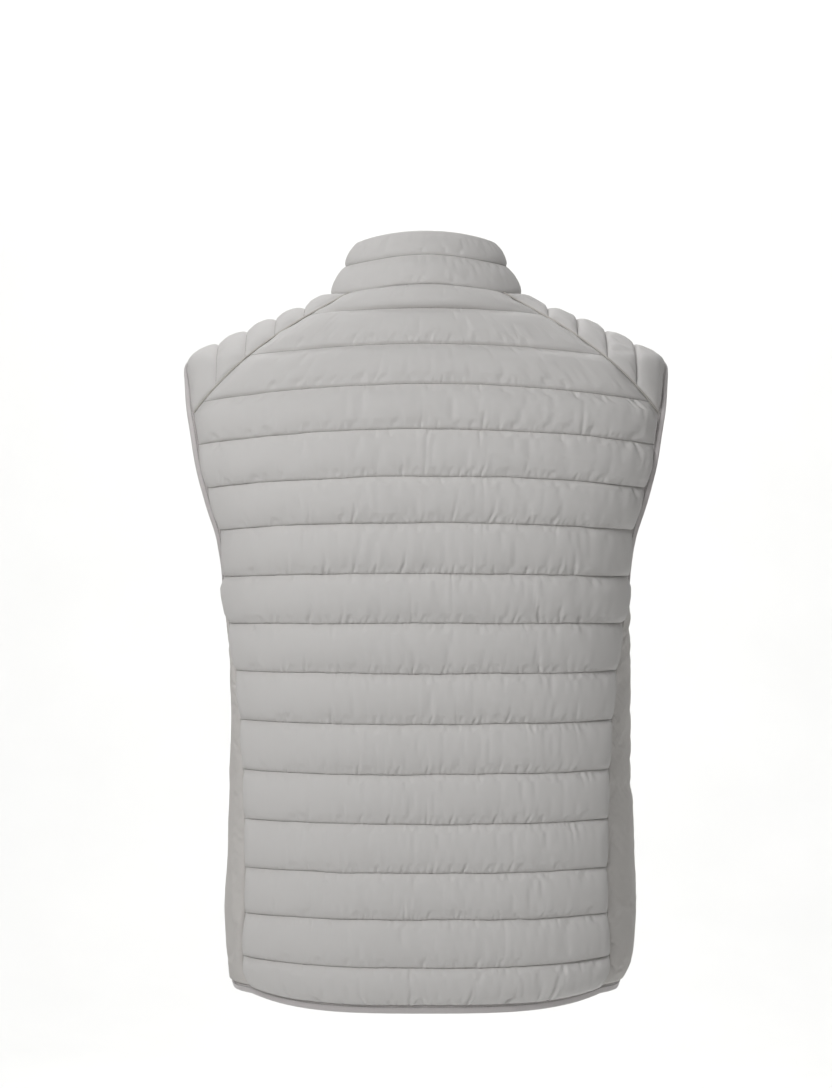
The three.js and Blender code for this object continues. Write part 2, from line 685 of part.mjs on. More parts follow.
function armholeEdge() {
  const points = spacedOut([
    ...column(back.grid, 0).filter(isArmhole(BACK)),
    ...shoulder.grid.at(-1),
    ...column(front.grid, -1).filter(isArmhole(FRONT)).reverse(),
    ...side.grid.at(-1).toReversed(),
  ]);
  if (points.at(-1).distanceTo(points[0]) < SEAM_POINTS_APART) points.pop();
  return withNormals(points);
}

// The left half of the neck edge, from the zip to the centre back.
function leftNeckEdge() {
  const frontEdge = column(front.grid, 0).filter((p) => p.z > zipNeckPoint.z - ON_SEAM);
  const half = back.grid.at(-1).slice(0, (back.grid[0].length + 1) / 2);
  return spacedOut([...frontEdge, ...shoulder.grid[0].toReversed(), ...half]);
}

// A left half with its mirror image after it: it runs from the left of the zip round to the right of it.
const bothHalves = (left) => [...left, ...left.slice(0, -1).map((p) => mirroredTo(RIGHT, p)).reverse()];

function collarGrid() {
  const columns = bothHalves(leftNeckEdge()).map(collarColumn);
  return COLLAR_SHARES.map((_, r) => columns.map((points) => points[r]));
}

// The left half of the hem edge, from the zip to the centre back.
function leftHemEdge() {
  const half = back.grid[0].slice(0, (back.grid[0].length + 1) / 2);
  return spacedOut([...front.grid[0], ...side.grid[0].toReversed(), ...half]);
}

// Builders, one for each kind of piece
function quiltedGeometry({ rows, grid }, sideSign, puffHeight, channelShare, keptColumns) {
  const distances = endDistances(grid);
  const normals = formNormals(grid);
  const placed = grid.map((row) => row.map((p) => mirroredTo(sideSign, p)));
  const faced = normals.map((row) => row.map((n) => mirroredTo(sideSign, n)));
  const puff = (r, c) => puffHeight * roundShare(channelShare(rows[r])) * rimShare(distances[r][c]);
  return paddedPiece(placed, faced, puff, () => SEAM_WALL, keptOf(rows), keptColumns(grid[0].length));
}

const bodyShare = ({ level }) => channelOf(level).share;

function sidePanelGeometry(sideSign) {
  const placed = side.grid.map((row) => row.map((p) => mirroredTo(sideSign, p)));
  const normals = formNormals(side.grid).map((row) => row.map((n) => mirroredTo(sideSign, n)));
  const distances = endDistances(side.grid);
  const bottom = side.grid[0][0].z;
  const top = side.grid.at(-1)[0].z;
  const puff = (r, c) => {
    const z = side.grid[r][0].z;
    return SIDE_PUFF * rimShare(distances[r][c]) * rimShare(Math.min(z - bottom, top - z));
  };
  const columns = every(side.grid[0].length);
  return paddedPiece(placed, normals, puff, () => SEAM_WALL, keptOf(side.rows), columns);
}

function collarGeometry() {
  const grid = collarGrid();
  const distances = endDistances(grid);
  const puff = (r, c) => collarPuff(COLLAR_SHARES[r]) * rimShare(distances[r][c]);
  const wall = (r) => mix(SEAM_WALL, COLLAR_TOP_WALL, COLLAR_SHARES[r]);
  const keptRows = [0, COLLAR_SHARES.indexOf(COLLAR_STITCH_SHARE), COLLAR_SHARES.length - 1];
  return paddedPiece(grid, collarNormals(grid), puff, wall, keptRows, every(grid[0].length));
}

function pipingGeometry(sideSign) {
  const start = neckPoint(backNeckCorner).x + 1;
  const end = armholeX(shoulderEndZ(BACK), BACK) - 1;
  const centres = every(PIPING_STEPS + 1).map((i) => {
    const x = mix(start, end, i / PIPING_STEPS);
    const p = onFace(x, shoulderSeamZ(x, BACK), BACK);
    return { p, n: outward(p) };
  });
  const rings = centres.map(({ p, n }, i) => {
    const next = centres[Math.min(i + 1, PIPING_STEPS)].p;
    const last = centres[Math.max(i - 1, 0)].p;
    const across = next.clone().sub(last).cross(n).normalize();
    return every(PIPING_SIDES).map((k) => {
      const angle = (k / PIPING_SIDES) * 2 * Math.PI;
      const ring = p.clone().addScaledVector(n, PIPING_LIFT + PIPING_RADIUS * Math.cos(angle));
      return mirroredTo(sideSign, ring.addScaledVector(across, PIPING_RADIUS * Math.sin(angle)));
    });
  });
  return loftGeometry(rings, false);
}

function armholeBindingGeometry(sideSign) {
  const edge = armholeEdge();
  const hole = new THREE.Vector3(armholePoint(0).x, ARMHOLE.y, ARMHOLE.z);
  const placed = sideSign > 0 ? edge : mirroredEdge(edge);
  const away = (p) => mirroredTo(sideSign, hole).sub(p);
  return edgeStrip(placed, ARMHOLE_BINDING, away, true);
}

function hemBindingGeometry() {
  const downwards = () => new THREE.Vector3(0, 0, -1);
  return edgeStrip(withNormals(bothHalves(leftHemEdge())), HEM_BINDING, downwards, false);
}

// The zip's line up the centre front, from the hem binding's lower edge to the collar's top
const zipLine = (() => {
  const hemLow = HEM_SEAM_Z - HEM_BINDING.wide;
  const body = [hemLow, ...STITCH_LEVELS.filter((z) => z < zipNeckPoint.z - 20), zipNeckPoint.z];
  const points = body.map((z) => onFace(0, z, FRONT));
  const collar = collarColumn(zipNeckPoint).map((p) => new THREE.Vector3(0, p.y, p.z));
  return [...points, collar[COLLAR_SHARES.indexOf(COLLAR_STITCH_SHARE)], collar.at(-1)];
})();

// A flat strip along a line up the centre front, between two distances from the centre.
function zipStrip(fromX, toX, size, line) {
  const rings = line.map((p, i) => {
    const run = line[Math.min(i + 1, line.length - 1)].clone().sub(line[Math.max(i - 1, 0)]).normalize();
    const n = new THREE.Vector3(0, -run.z, run.y);
    return [[fromX, -size.below], [toX, -size.below], [toX, size.above], [fromX, size.above]].map(
      ([x, out]) => new THREE.Vector3(x, p.y, p.z).addScaledVector(n, out),
    );
  });
  return loftGeometry(rings, false);
}

const collarRun = zipLine.at(-1).clone().sub(zipLine.at(-2)).normalize();
const sliderAt = zipLine.at(-1).clone().addScaledVector(collarRun, -SLIDER_BELOW_TOP);
const collarLean = Math.atan2(collarRun.y, collarRun.z);

// The chain ends inside the slider at the top, and in the box at the hem.
function zipChainGeometry() {
  const top = sliderAt.clone().addScaledVector(collarRun, -0.5);
  const bottom = zipLine[0].clone().lerp(zipLine[1], (ZIP_BOX.long + SEAM_GAP) / HEM_BINDING.wide);
  const line = [bottom, ...zipLine.slice(2, -1), top];
  return zipStrip(-ZIP_CHAIN.halfWidth, ZIP_CHAIN.halfWidth, ZIP_CHAIN, line);
}

function zipBoxGeometry() {
  const line = [zipLine[0], zipLine[0].clone().lerp(zipLine[1], ZIP_BOX.long / HEM_BINDING.wide)];
  return zipStrip(-ZIP_BOX.halfWidth, ZIP_BOX.halfWidth, ZIP_BOX, line);
}

// Slider and pull, in a frame of their own: +Z up the zip, -Y out of the cloth
const SLIDER = {
  halfWidth: 4.4, up: 5.5, down: 6, front: 0.9, plate: 1.5, backGap: 1.9, postHalf: 1.6, postLow: 0.2,
};
const PULL_PIVOT_Y = -(SLIDER.front + SLIDER.plate + 1.5);
const SLOT_HALF = 1.3; // the bridge's slot round the pull's bar
const BRIDGE = { thick: 1.1, halfWidth: 1.2 };
const SUNK = 0.2; // the bridge's feet reach into the front plate
const PULL = { bar: 0.65, holeHalf: 1.8, side: 1.4, holeLong: 4.2, long: 27, thick: 1.4, corner: 2 };

const outline = (points) => new THREE.Shape(points.map(([a, b]) => new THREE.Vector2(a, b)));

// A shape drawn in depth (-Y) and height (+Z), extruded sideways to a half width.
function sidewaysSolid(shape, halfWidth) {
  const geometry = new THREE.ExtrudeGeometry(shape, { depth: 2 * halfWidth, bevelEnabled: false });
  geometry.translate(0, 0, -halfWidth);
  geometry.applyMatrix4(new THREE.Matrix4().set(0, 0, -1, 0, -1, 0, 0, 0, 0, 1, 0, 0, 0, 0, 0, 1));
  return solidFrom(geometry);
}

function solidFrom(geometry) {
  const position = geometry.getAttribute("position");
  const ids = new Map();
  const vertices = [];
  const triangles = [];
  for (let i = 0; i < position.count; i += 1) {
    const key = [position.getX(i), position.getY(i), position.getZ(i)].map((v) => v.toFixed(4)).join();
    if (!ids.has(key)) {
      ids.set(key, vertices.length / 3);
      vertices.push(position.getX(i), position.getY(i), position.getZ(i));
    }
    triangles.push(ids.get(key));
  }
  return new wasm.Manifold(
    new wasm.Mesh({
      numProp: 3,
      vertProperties: new Float32Array(vertices),
      triVerts: new Uint32Array(triangles),
    }),
  );
}

function geometryFrom(solid) {
  const mesh = solid.getMesh();
  const geometry = new THREE.BufferGeometry();
  geometry.setAttribute("position", new THREE.Float32BufferAttribute(mesh.vertProperties, 3));
  geometry.setIndex([...mesh.triVerts]);
  geometry.computeVertexNormals();
  return geometry;
}

function sliderGeometry() {
  const { up, down, front: face, plate, backGap, halfWidth, postHalf, postLow } = SLIDER;
  const box = (near, far, low, high) => outline([[near, low], [far, low], [far, high], [near, high]]);
  const frontPlate = sidewaysSolid(box(face, face + plate, -down, up), halfWidth);
  const backPlate = sidewaysSolid(box(-backGap - plate, -backGap, -down, up), halfWidth);
  const post = sidewaysSolid(box(-backGap - plate, face + plate, postLow, up), postHalf);
  const pivot = -PULL_PIVOT_Y;
  const reach = SLOT_HALF + BRIDGE.thick;
  const arch = box(face + plate - SUNK, pivot + reach, -reach, reach);
  const slot = box(pivot - SLOT_HALF, pivot + SLOT_HALF, -SLOT_HALF, SLOT_HALF);
  arch.holes.push(new THREE.Path(slot.getPoints().reverse()));
  const bridge = sidewaysSolid(arch, BRIDGE.halfWidth);
  return geometryFrom(frontPlate.add(backPlate).add(post).add(bridge));
}

// A flat tab that hangs from a round bar; its hole clears the bridge at every angle.
function pullGeometry() {
  const wide = PULL.holeHalf + PULL.side;
  const shape = outline([
    [-wide, PULL.bar], [-wide, -PULL.long + PULL.corner], [-wide + PULL.corner, -PULL.long],
    [wide - PULL.corner, -PULL.long], [wide, -PULL.long + PULL.corner], [wide, PULL.bar],
  ]);
  const half = PULL.holeHalf;
  const pastTop = PULL.bar + 1;
  const hole = outline([[-half, pastTop], [-half, -PULL.holeLong], [half, -PULL.holeLong], [half, pastTop]]);
  const flatSolid = (drawn, thick) => {
    const made = new THREE.ExtrudeGeometry(drawn, { depth: thick, bevelEnabled: false });
    made.translate(0, 0, -thick / 2);
    made.rotateX(Math.PI / 2);
    return solidFrom(made);
  };
  const bar = new THREE.CylinderGeometry(PULL.bar, PULL.bar, 2 * wide, 10);
  bar.rotateZ(Math.PI / 2);
  const frame = flatSolid(shape, PULL.thick).subtract(flatSolid(hole, 2 * PULL.thick));
  return geometryFrom(frame.add(solidFrom(bar.toNonIndexed())));
}

// The vest
const vest = new THREE.Group();

function add(name, geometry, material, parent = vest) {
  const mesh = new THREE.Mesh(geometry, material);
  mesh.name = name;
  parent.add(mesh);
  return mesh;
}

add("back", quiltedGeometry(back, LEFT, BODY_PUFF, bodyShare, everySecond), CLOTH);
for (const [name, sign] of [["left", LEFT], ["right", RIGHT]]) {
  add(`front_${name}`, quiltedGeometry(front, sign, BODY_PUFF, bodyShare, everySecond), CLOTH);
  add(`side_${name}`, sidePanelGeometry(sign), SIDE_CLOTH);
  const shoulderShare = ({ share }) => 1 - share;
  add(`shoulder_${name}`, quiltedGeometry(shoulder, sign, SHOULDER_PUFF, shoulderShare, every), CLOTH);
  add(`piping_${name}`, pipingGeometry(sign), BINDING);
  add(`armhole_binding_${name}`, armholeBindingGeometry(sign), BINDING);
  const [from, to] = [ZIP_TAPE.from * sign, ZIP_TAPE.to * sign];
  add(`zip_tape_${name}`, zipStrip(from, to, ZIP_TAPE, zipLine), ZIP_CLOTH);
}
add("collar", collarGeometry(), CLOTH);
add("hem_binding", hemBindingGeometry(), BINDING);
add("zip_chain", zipChainGeometry(), ZIP_PLASTIC);
add("zip_box", zipBoxGeometry(), ZIP_PLASTIC);

const sliderGroup = new THREE.Group();
sliderGroup.position.copy(sliderAt);
sliderGroup.rotation.x = -collarLean;
vest.add(sliderGroup);
add("zip_slider", sliderGeometry(), ZIP_METAL, sliderGroup);
const pull = add("zip_pull", pullGeometry(), ZIP_METAL, sliderGroup);
pull.position.y = PULL_PIVOT_Y;

export default vest;
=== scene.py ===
"""Quilted vest: padded, quilted cloth worn and zipped up, in metres, with its front towards -Y."""

import math

import bmesh
import bpy
import numpy as np
from bpy.props import FloatProperty, FloatVectorProperty, IntProperty, PointerProperty
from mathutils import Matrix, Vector


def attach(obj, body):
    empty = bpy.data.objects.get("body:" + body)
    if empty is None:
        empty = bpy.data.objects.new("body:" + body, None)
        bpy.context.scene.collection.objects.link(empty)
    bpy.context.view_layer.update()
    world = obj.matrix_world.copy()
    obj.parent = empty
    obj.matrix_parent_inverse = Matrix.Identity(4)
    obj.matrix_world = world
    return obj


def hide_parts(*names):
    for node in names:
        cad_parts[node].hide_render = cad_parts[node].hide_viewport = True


bl_info = {
    "name": "Quilted vest",
    "version": (1, 0, 0),
    "blender": (4, 5, 0),
    "location": "View3D > Sidebar > Vest",
    "description": "A padded sleeveless vest with level quilted channels, a stand collar and bound edges",
    "category": "Add Mesh",
}

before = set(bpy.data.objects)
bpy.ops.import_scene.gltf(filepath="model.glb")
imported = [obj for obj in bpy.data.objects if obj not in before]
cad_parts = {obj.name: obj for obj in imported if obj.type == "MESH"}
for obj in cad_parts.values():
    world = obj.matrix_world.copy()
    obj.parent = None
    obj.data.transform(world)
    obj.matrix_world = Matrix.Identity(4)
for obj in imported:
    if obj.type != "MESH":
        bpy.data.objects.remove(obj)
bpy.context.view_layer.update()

# The form, in millimetres from between the wearer's shoulders. Each row: height, half width, how far back
# and forward it reaches, and the power of its rounded outline.
MIDDLE_Y = -3
SECTIONS = [
    (-700, 184, 103, -115, 2.4),
    (-681, 186, 107, -118, 2.4),
    (-666, 190.5, 110, -122, 2.45),
    (-648, 196.5, 112, -125, 2.5),
    (-625, 198.5, 111, -127, 2.5),
    (-590, 198.5, 109, -128, 2.5),
    (-540, 196.5, 106, -130, 2.5),
    (-470, 194, 104, -133, 2.5),
    (-400, 193, 106, -137, 2.5),
    (-340, 194.5, 110, -141, 2.5),
    (-290, 198, 115, -143, 2.5),
    (-240, 206.5, 118, -143, 2.5),
    (-202, 221, 118, -140, 2.5),
    (-167, 231.5, 116, -134, 2.5),
    (-135, 236.5, 111, -126, 2.5),
    (-110, 238, 106, -117, 2.5),
    (-85, 237, 99, -105, 2.4),
    (-72, 235, 95, -98, 2.35),
    (-66, 231.5, 92.5, -95, 2.3),
    (-61.5, 225, 90.5, -92, 2.25),
    (-50, 202, 86, -86, 2.2),
    (-37, 174, 81, -79, 2.15),
    (-25, 146, 76, -73, 2.1),
    (-14, 118, 72, -67, 2.05),
    (-1, 94, 67, -60, 2),
    (6, 87, 64, -56, 2),
    (16, 79, 59, -50, 2),
]

# Quilting: channel heights at the centre back from the hem seam up, and how each row of stitches sinks
# towards the sides. Each row: height, drop at DROP_X from the centre line, and the power of its curve.
HEM_SEAM_Z = -681
CHANNEL_HEIGHTS = [36, 45, 44, 46, 47, 48, 48, 48, 47, 48, 44, 45, 43, 39, 35, 23]
STITCH_LEVELS = np.concatenate([[HEM_SEAM_Z], HEM_SEAM_Z + np.cumsum(CHANNEL_HEIGHTS)]).astype(float)
NECK_SEAM_LEVEL = STITCH_LEVELS[-1]
DROP_X = 200
DROPS = [
    (-681, -25, 4),
    (-645, -9, 3.2),
    (-600, -3, 2.4),
    (-460, -3, 2),
    (-367, -1.5, 2),
    (-319, 1.6, 2),
    (-272, 3.5, 2),
    (-224, 6.5, 2),
    (-180, 9, 2),
    (-135, 11, 2),
    (-92, 13, 2),
    (6, 14, 2),
]

# Armhole, side seams, shoulder seams and neck
ARMHOLE_Y = -6
ARMHOLE_Z = -181
ARMHOLE_HALF_DEPTH = 60
ARMHOLE_HALF_HEIGHT = 119
ARMHOLE_POWER = 2.2
UNDERARM_SEAM_Z = -286
UNDERARM_BLEND = 80
SIDE_SEAM = [(-700, 60), (-665, 67), (-600, 71), (-505, 64), (-404, 56), (-337, 46), (-286, 31.5)]
BACK_SHOULDER_SEAM = (72, 0, 0.55, 9.75e-6)
FRONT_SHOULDER_SEAM = (84, -16, 0.58, 9e-6)
SHOULDER_STITCHES_X = [118, 146, 174, 202]
ARCH_Z = -120
NECK_HALF_WIDTH = 92
NECK_Y = 5
NECK_BACK = 59
NECK_FRONT = 105
COLLAR_HALF_WIDTH = 67
COLLAR_Y = -6
COLLAR_BACK = 50
COLLAR_FRONT = 73
COLLAR_BACK_Z = 59
COLLAR_SIDE_Z = 51
COLLAR_FRONT_Z = -15
COLLAR_STITCH_SHARE = 0.55

# Edges
EDGE_TRIM = 0.35
SEAM_GAP = 0.4
ARMHOLE_BAND = (6.6, 0.9, 2.9)
HEM_BAND = (8.5, 0.9, 2.9)
ZIP_EDGE_X = 8
ZIP_TAPE_FROM = 3.2
ZIP_TAPE_TO = 7.7
ZIP_TAPE_TOP = -0.4
ZIP_TAPE_UNDER = 1.6
ZIP_BOX_LONG = 10
SLIDER_BELOW_TOP = 11

BACK = 1
FRONT = -1
LEFT = 1
RIGHT = -1

# Grid rows of a channel, in millimetres from the stitches at its foot and again from those at its top, and
# the widest gap between the rows further in
CLOSE_ROWS = [0, 0.9, 2, 3.4, 5.2, 7.6, 10.8]
ROW_GAP = 9

# Creases that show on the back, by channel from the hem up. Each starts at the stitches below its channel:
# millimetres to the wearer's left of the centre line, how far it leans to the left, its length and sharpness.
RISING_CREASES = {
    0: [
        (145, 6, 9, 0.4),
        (129, 5, 13, 0.8),
        (98, 19, 20, 1.1),
        (78, 6, 9, 0.7),
        (57, 6, 13, 0.9),
        (17, -6, 25, 1.1),
        (1, 4, 11, 0.7),
        (-5, -1, 4, 0.6),
        (-37, -17, 34, 1.4),
        (-73, -22, 22, 1.3),
        (-103, -4, 10, 0.7),
        (-114, -16, 33, 1.4),
        (-152, -2, 26, 0.5),
    ],
    1: [
        (37, 6, 8, 0.7),
        (4, -3, 7, 0.7),
        (-18, -1, 6, 0.7),
        (-46, -5, 8, 1.0),
        (-57, -3, 4, 0.6),
        (-64, -2, 4, 0.7),
        (-73, -4, 5, 0.6),
    ],
    2: [
        (146, -3, 14, 0.9),
        (125, 0, 3, 1.0),
        (17, -1, 5, 0.6),
        (-30, -4, 8, 1.0),
        (-62, -3, 5, 0.7),
        (-87, -1, 3, 0.6),
        (-122, -2, 7, 0.5),
    ],
    3: [
        (110, 4, 9, 0.5),
        (47, -1, 5, 0.6),
        (37, -4, 7, 0.6),
        (24, -3, 7, 0.9),
        (0, -1, 8, 0.7),
        (-6, -2, 8, 0.9),
        (-34, -4, 8, 1.0),
        (-58, -1, 6, 0.6),
        (-63, -3, 7, 0.7),
        (-78, -4, 11, 1.0),
    ],
    4: [
        (114, -5, 9, 0.5),
        (63, -3, 8, 0.7),
        (37, -4, 11, 0.9),
        (29, -2, 5, 0.6),
        (14, 0, 3, 1.0),
        (0, -1, 12, 1.0),
        (-22, -4, 9, 1.0),
        (-63, -6, 11, 1.0),
        (-66, -6, 8, 0.7),
        (-94, -7, 11, 0.9),
        (-110, 0, 4, 0.5),
    ],
    5: [
        (134, -3, 6, 0.8),
        (96, 1, 8, 0.4),
        (89, 0, 5, 0.4),
        (65, -3, 14, 1.0),
        (27, -3, 10, 0.9),
        (0, -3, 11, 1.0),
        (-45, -2, 5, 0.9),
        (-68, -2, 6, 0.9),
        (-93, -5, 10, 1.0),
        (-116, -1, 5, 0.6),
    ],
    6: [
        (132, 3, 24, 0.4),
        (117, 0, 5, 0.5),
        (90, -2, 13, 1.0),
        (48, -2, 10, 0.8),
        (14, -4, 10, 0.7),
        (-3, -4, 9, 1.0),
        (-17, 1, 6, 0.5),
        (-29, 2, 17, 0.6),
        (-44, -5, 9, 0.8),
        (-51, -2, 7, 0.6),
        (-75, -4, 11, 1.0),
        (-92, -2, 6, 0.8),
        (-142, 2, 14, 0.6),
    ],
    7: [
        (134, -5, 12, 0.6),
        (115, -5, 20, 1.0),
        (82, -1, 6, 0.5),
        (54, -4, 11, 0.9),
        (42, -1, 5, 0.5),
        (26, -3, 8, 0.7),
        (14, -5, 12, 1.0),
        (-15, -4, 10, 0.8),
        (-34, -3, 8, 1.0),
        (-58, -1, 6, 0.5),
        (-69, 1, 7, 0.5),
        (-88, 2, 7, 0.7),
        (-108, 8, 27, 1.0),
        (-134, 2, 8, 0.6),
    ],
    8: [
        (146, -14, 38, 0.7),
        (139, -3, 10, 0.7),
        (112, -5, 12, 1.0),
        (111, -14, 44, 0.5),
        (81, -6, 15, 1.0),
        (57, -5, 6, 1.0),
        (46, -1, 5, 0.5),
        (28, -4, 7, 1.0),
        (14, 0, 30, 0.4),
        (-18, -1, 6, 0.5),
        (-31, -2, 9, 1.0),
        (-64, -1, 8, 0.7),
        (-82, -2, 8, 0.8),
        (-107, 12, 42, 1.1),
        (-126, 2, 18, 1.0),
        (-145, 2, 12, 1.0),
    ],
    9: [
        (130, -4, 26, 0.5),
        (97, -5, 19, 1.0),
        (96, -20, 44, 0.5),
        (69, -11, 35, 0.9),
        (48, -2, 11, 1.0),
        (24, -8, 21, 1.1),
        (5, -4, 10, 0.5),
        (-14, -1, 8, 0.5),
        (-25, -2, 9, 1.0),
        (-43, -1, 13, 0.6),
        (-64, 1, 9, 0.8),
        (-93, -3, 9, 1.0),
        (-101, -1, 6, 0.7),
        (-113, -1, 6, 0.7),
        (-124, -3, 12, 0.9),
        (-134, 6, 18, 0.5),
        (-140, 3, 22, 0.9),
    ],
    10: [
        (201, -5, 19, 1.0),
        (166, 2, 10, 0.6),
        (146, -1, 5, 0.5),
        (132, -1, 5, 0.5),
        (111, -3, 17, 0.9),
        (70, -16, 43, 1.1),
        (42, -5, 6, 0.8),
        (-24, -10, 40, 0.6),
        (-58, -7, 13, 1.0),
        (-65, -1, 5, 0.6),
        (-81, -2, 4, 0.6),
        (-98, 1, 16, 0.5),
        (-120, -2, 9, 0.8),
        (-141, 1, 9, 0.8),
    ],
    11: [
        (197, -4, 8, 1.0),
        (59, -1, 8, 0.5),
        (47, 0, 8, 0.4),
        (23, -1, 14, 0.5),
        (2, -3, 30, 0.7),
        (-30, -4, 11, 0.6),
        (-51, -5, 12, 1.0),
        (-141, -1, 8, 0.9),
        (-154, 1, 6, 0.8),
        (-167, -1, 7, 0.9),
        (-177, 0, 5, 0.7),
        (-184, -1, 7, 0.9),
    ],
    12: [
        (5, -2, 20, 0.6),
        (-10, -1, 7, 0.5),
        (-53, -2, 16, 0.8),
        (-147, 0, 30, 0.8),
        (-172, 0, 6, 0.7),
    ],
    13: [
        (-155, 0, 5, 0.7),
        (-175, -2, 9, 0.9),
    ],
}
# The same for creases that hang from the stitches above their channel
HANGING_CREASES = {
    0: [(15, 1, 12, 0.9), (-130, 0, 14, 0.9), (-146, 1, 9, 0.5)],
    1: [(-124, 0, 8, 0.5), (-151, 1, 6, 0.4)],
    2: [(22, 1, 4, 0.6), (-112, 0, 6, 0.4)],
    3: [(-14, 1, 4, 0.5), (-43, 0, 4, 0.5), (-95, 0, 4, 0.6), (-137, -1, 22, 0.5)],
    4: [(-147, -1, 10, 0.6), (-153, -1, 8, 0.4)],
    5: [(-94, -1, 8, 0.6), (-101, 0, 10, 0.6), (-140, -4, 23, 0.5)],
    8: [(-24, 0, 27, 0.6)],
    9: [(111, 6, 16, 0.8), (-53, 0, 10, 0.6), (-124, 4, 12, 0.5)],
    10: [(-53, -2, 19, 0.6), (-197, -4, 18, 1.2)],
    11: [
        (198, 11, 26, 0.8),
        (-3, 6, 22, 0.7),
        (-51, 1, 17, 0.9),
        (-128, 0, 8, 0.6),
        (-152, 0, 6, 0.7),
        (-198, -10, 26, 1.3),
    ],
    12: [
        (197, 5, 9, 0.9),
        (58, -2, 8, 0.5),
        (-2, 1, 8, 0.5),
        (-50, -1, 9, 0.8),
        (-141, -1, 8, 0.7),
        (-167, 0, 8, 0.5),
        (-189, -10, 11, 0.9),
        (-198, -13, 18, 1.3),
    ],
}
# Long drags across several channels. Each row: from (across, height) to (across, height), width and depth.
BACK_DRAGS = [
    (186, -226, 120, -160, 9, 0.7),
    (176, -262, 112, -206, 8, 0.6),
    (-186, -216, -120, -156, 9, 0.8),
    (-178, -262, -118, -196, 8, 0.7),
    (-112, -246, -160, -330, 8, 0.5),
    (118, -236, 62, -320, 8, 0.5),
]
# A crease is this wide where it starts and widens as it runs, in millimetres and as a share of its run
CREASE_WIDTH = 1.05
CREASE_WIDENS = 0.045
CREASE_DEPTH = 1.9
FULL_RELIEF_AT = 1.4

# How much longer the padding's rims are at the shoulder seams, and the heights over which they lengthen
SEAM_THINS = 1.3
THINS_FROM_Z = -165
THINS_OVER = 40

# Painted shade darkens the cloth beside seams over this width in millimetres, and over another at the
# shoulder seams
SEAM_SHADE_WIDTH = 1.3
SHOULDER_SEAM_SHADE_WIDTH = 1.7
SHOULDER_PANEL_SEAM_SHADE_WIDTH = 3.2
SHOULDER_SHADE_FROM_Z = -170
SHOULDER_SHADE_OVER = 30

# Uneven stitching, piping and bindings
STITCH_WAVE = 0.5
PIPING_SPACING = 1.2
PIPING_SIDES = 12
BINDING_SPACING = 2.2
BINDING_STITCH_IN = 1.7
ZIP_TAPE_SPACING = 2.5
ARMHOLE_FLARE = 52
SIDE_FINE_CELL = 1.6


def mm(metres):
    """A size of the panel in the sidebar, in millimetres."""
    return metres * 1000


# The form's arithmetic


def column_curve(rows, column):
    """A smooth curve through one column of a table whose first column rises."""
    at = np.array([row[0] for row in rows], float)
    value = np.array([row[column] for row in rows], float)
    last = len(at) - 1
    before = np.maximum(np.arange(last + 1) - 1, 0)
    after = np.minimum(np.arange(last + 1) + 1, last)
    slope = (value[after] - value[before]) / (at[after] - at[before])

    def curve(z):
        inside = np.clip(z, at[0], at[last])
        i = np.searchsorted(at[1:last], inside, side="left")
        span = at[i + 1] - at[i]
        t = (inside - at[i]) / span
        u = 1 - t
        ends = value[i] * (1 + 2 * t) * u * u + value[i + 1] * t * t * (3 - 2 * t)
        return ends + span * (slope[i] * t * u * u - slope[i + 1] * t * t * u)

    return curve


def turning(test, low, high):
    """The values between low and high at which a test turns from false to true."""
    before = np.asarray(low, float)
    after = np.asarray(high, float)
    for _ in range(44):
        middle = (before + after) / 2
        found = test(middle)
        after = np.where(found, middle, after)
        before = np.where(found, before, middle)
    return (before + after) / 2


def mix(a, b, t):
    return a + (b - a) * t


def smooth_step(t):
    held = np.clip(t, 0, 1)
    return held * held * (3 - 2 * held)


def remainder(share, power):
    """What is left of one half axis of a rounded outline when the other is used up to a share."""
    return np.maximum(0, 1 - np.abs(share) ** power) ** (1 / power)


def unit(vectors):
    return vectors / np.maximum(np.linalg.norm(vectors, axis=-1, keepdims=True), 1e-9)


form_width = column_curve(SECTIONS, 1)
form_back = column_curve(SECTIONS, 2)
form_front = column_curve(SECTIONS, 3)
form_power = column_curve(SECTIONS, 4)
row_drop = column_curve(DROPS, 1)
row_bend = column_curve(DROPS, 2)
side_seam_depth = column_curve(SIDE_SEAM, 1)


def form_depth(z, face):
    return np.where(np.asarray(face) > 0, form_back(z) - MIDDLE_Y, MIDDLE_Y - form_front(z))


def face_y(x, z, face):
    return MIDDLE_Y + face * form_depth(z, face) * remainder(x / form_width(z), form_power(z))


def side_x(y, z):
    return form_width(z) * remainder((y - MIDDLE_Y) / form_depth(z, y - MIDDLE_Y), form_power(z))


def outside_form(x, y, z):
    power = form_power(z)
    across = np.abs(x) / form_width(z)
    deep = np.abs(y - MIDDLE_Y) / form_depth(z, y - MIDDLE_Y)
    return across**power + deep**power - 1


def outward(points):
    """Unit vectors that point out of the form."""
    step = 0.5
    x, y, z = np.moveaxis(points, -1, 0)
    slopes = [
        outside_form(x + step, y, z) - outside_form(x - step, y, z),
        outside_form(x, y + step, z) - outside_form(x, y - step, z),
        outside_form(x, y, z + step) - outside_form(x, y, z - step),
    ]
    return unit(np.stack(slopes, axis=-1))


def on_face(x, z, face):
    x, z = np.broadcast_arrays(np.asarray(x, float), np.asarray(z, float))
    return np.stack([x, face_y(x, z, face), z], axis=-1)


def on_side(y, z):
    y, z = np.broadcast_arrays(np.asarray(y, float), np.asarray(z, float))
    return np.stack([side_x(y, z), y, z], axis=-1)


def top_z(x, y):
    return turning(lambda z: outside_form(x, y, z) > 0, -150, SECTIONS[-1][0])


# Seam lines, for the left half


def stitch_z(level, x):
    return level - row_drop(level) * np.abs(x / DROP_X) ** row_bend(level)


def armhole_y(z):
    return ARMHOLE_HALF_DEPTH * remainder((z - ARMHOLE_Z) / ARMHOLE_HALF_HEIGHT, ARMHOLE_POWER)


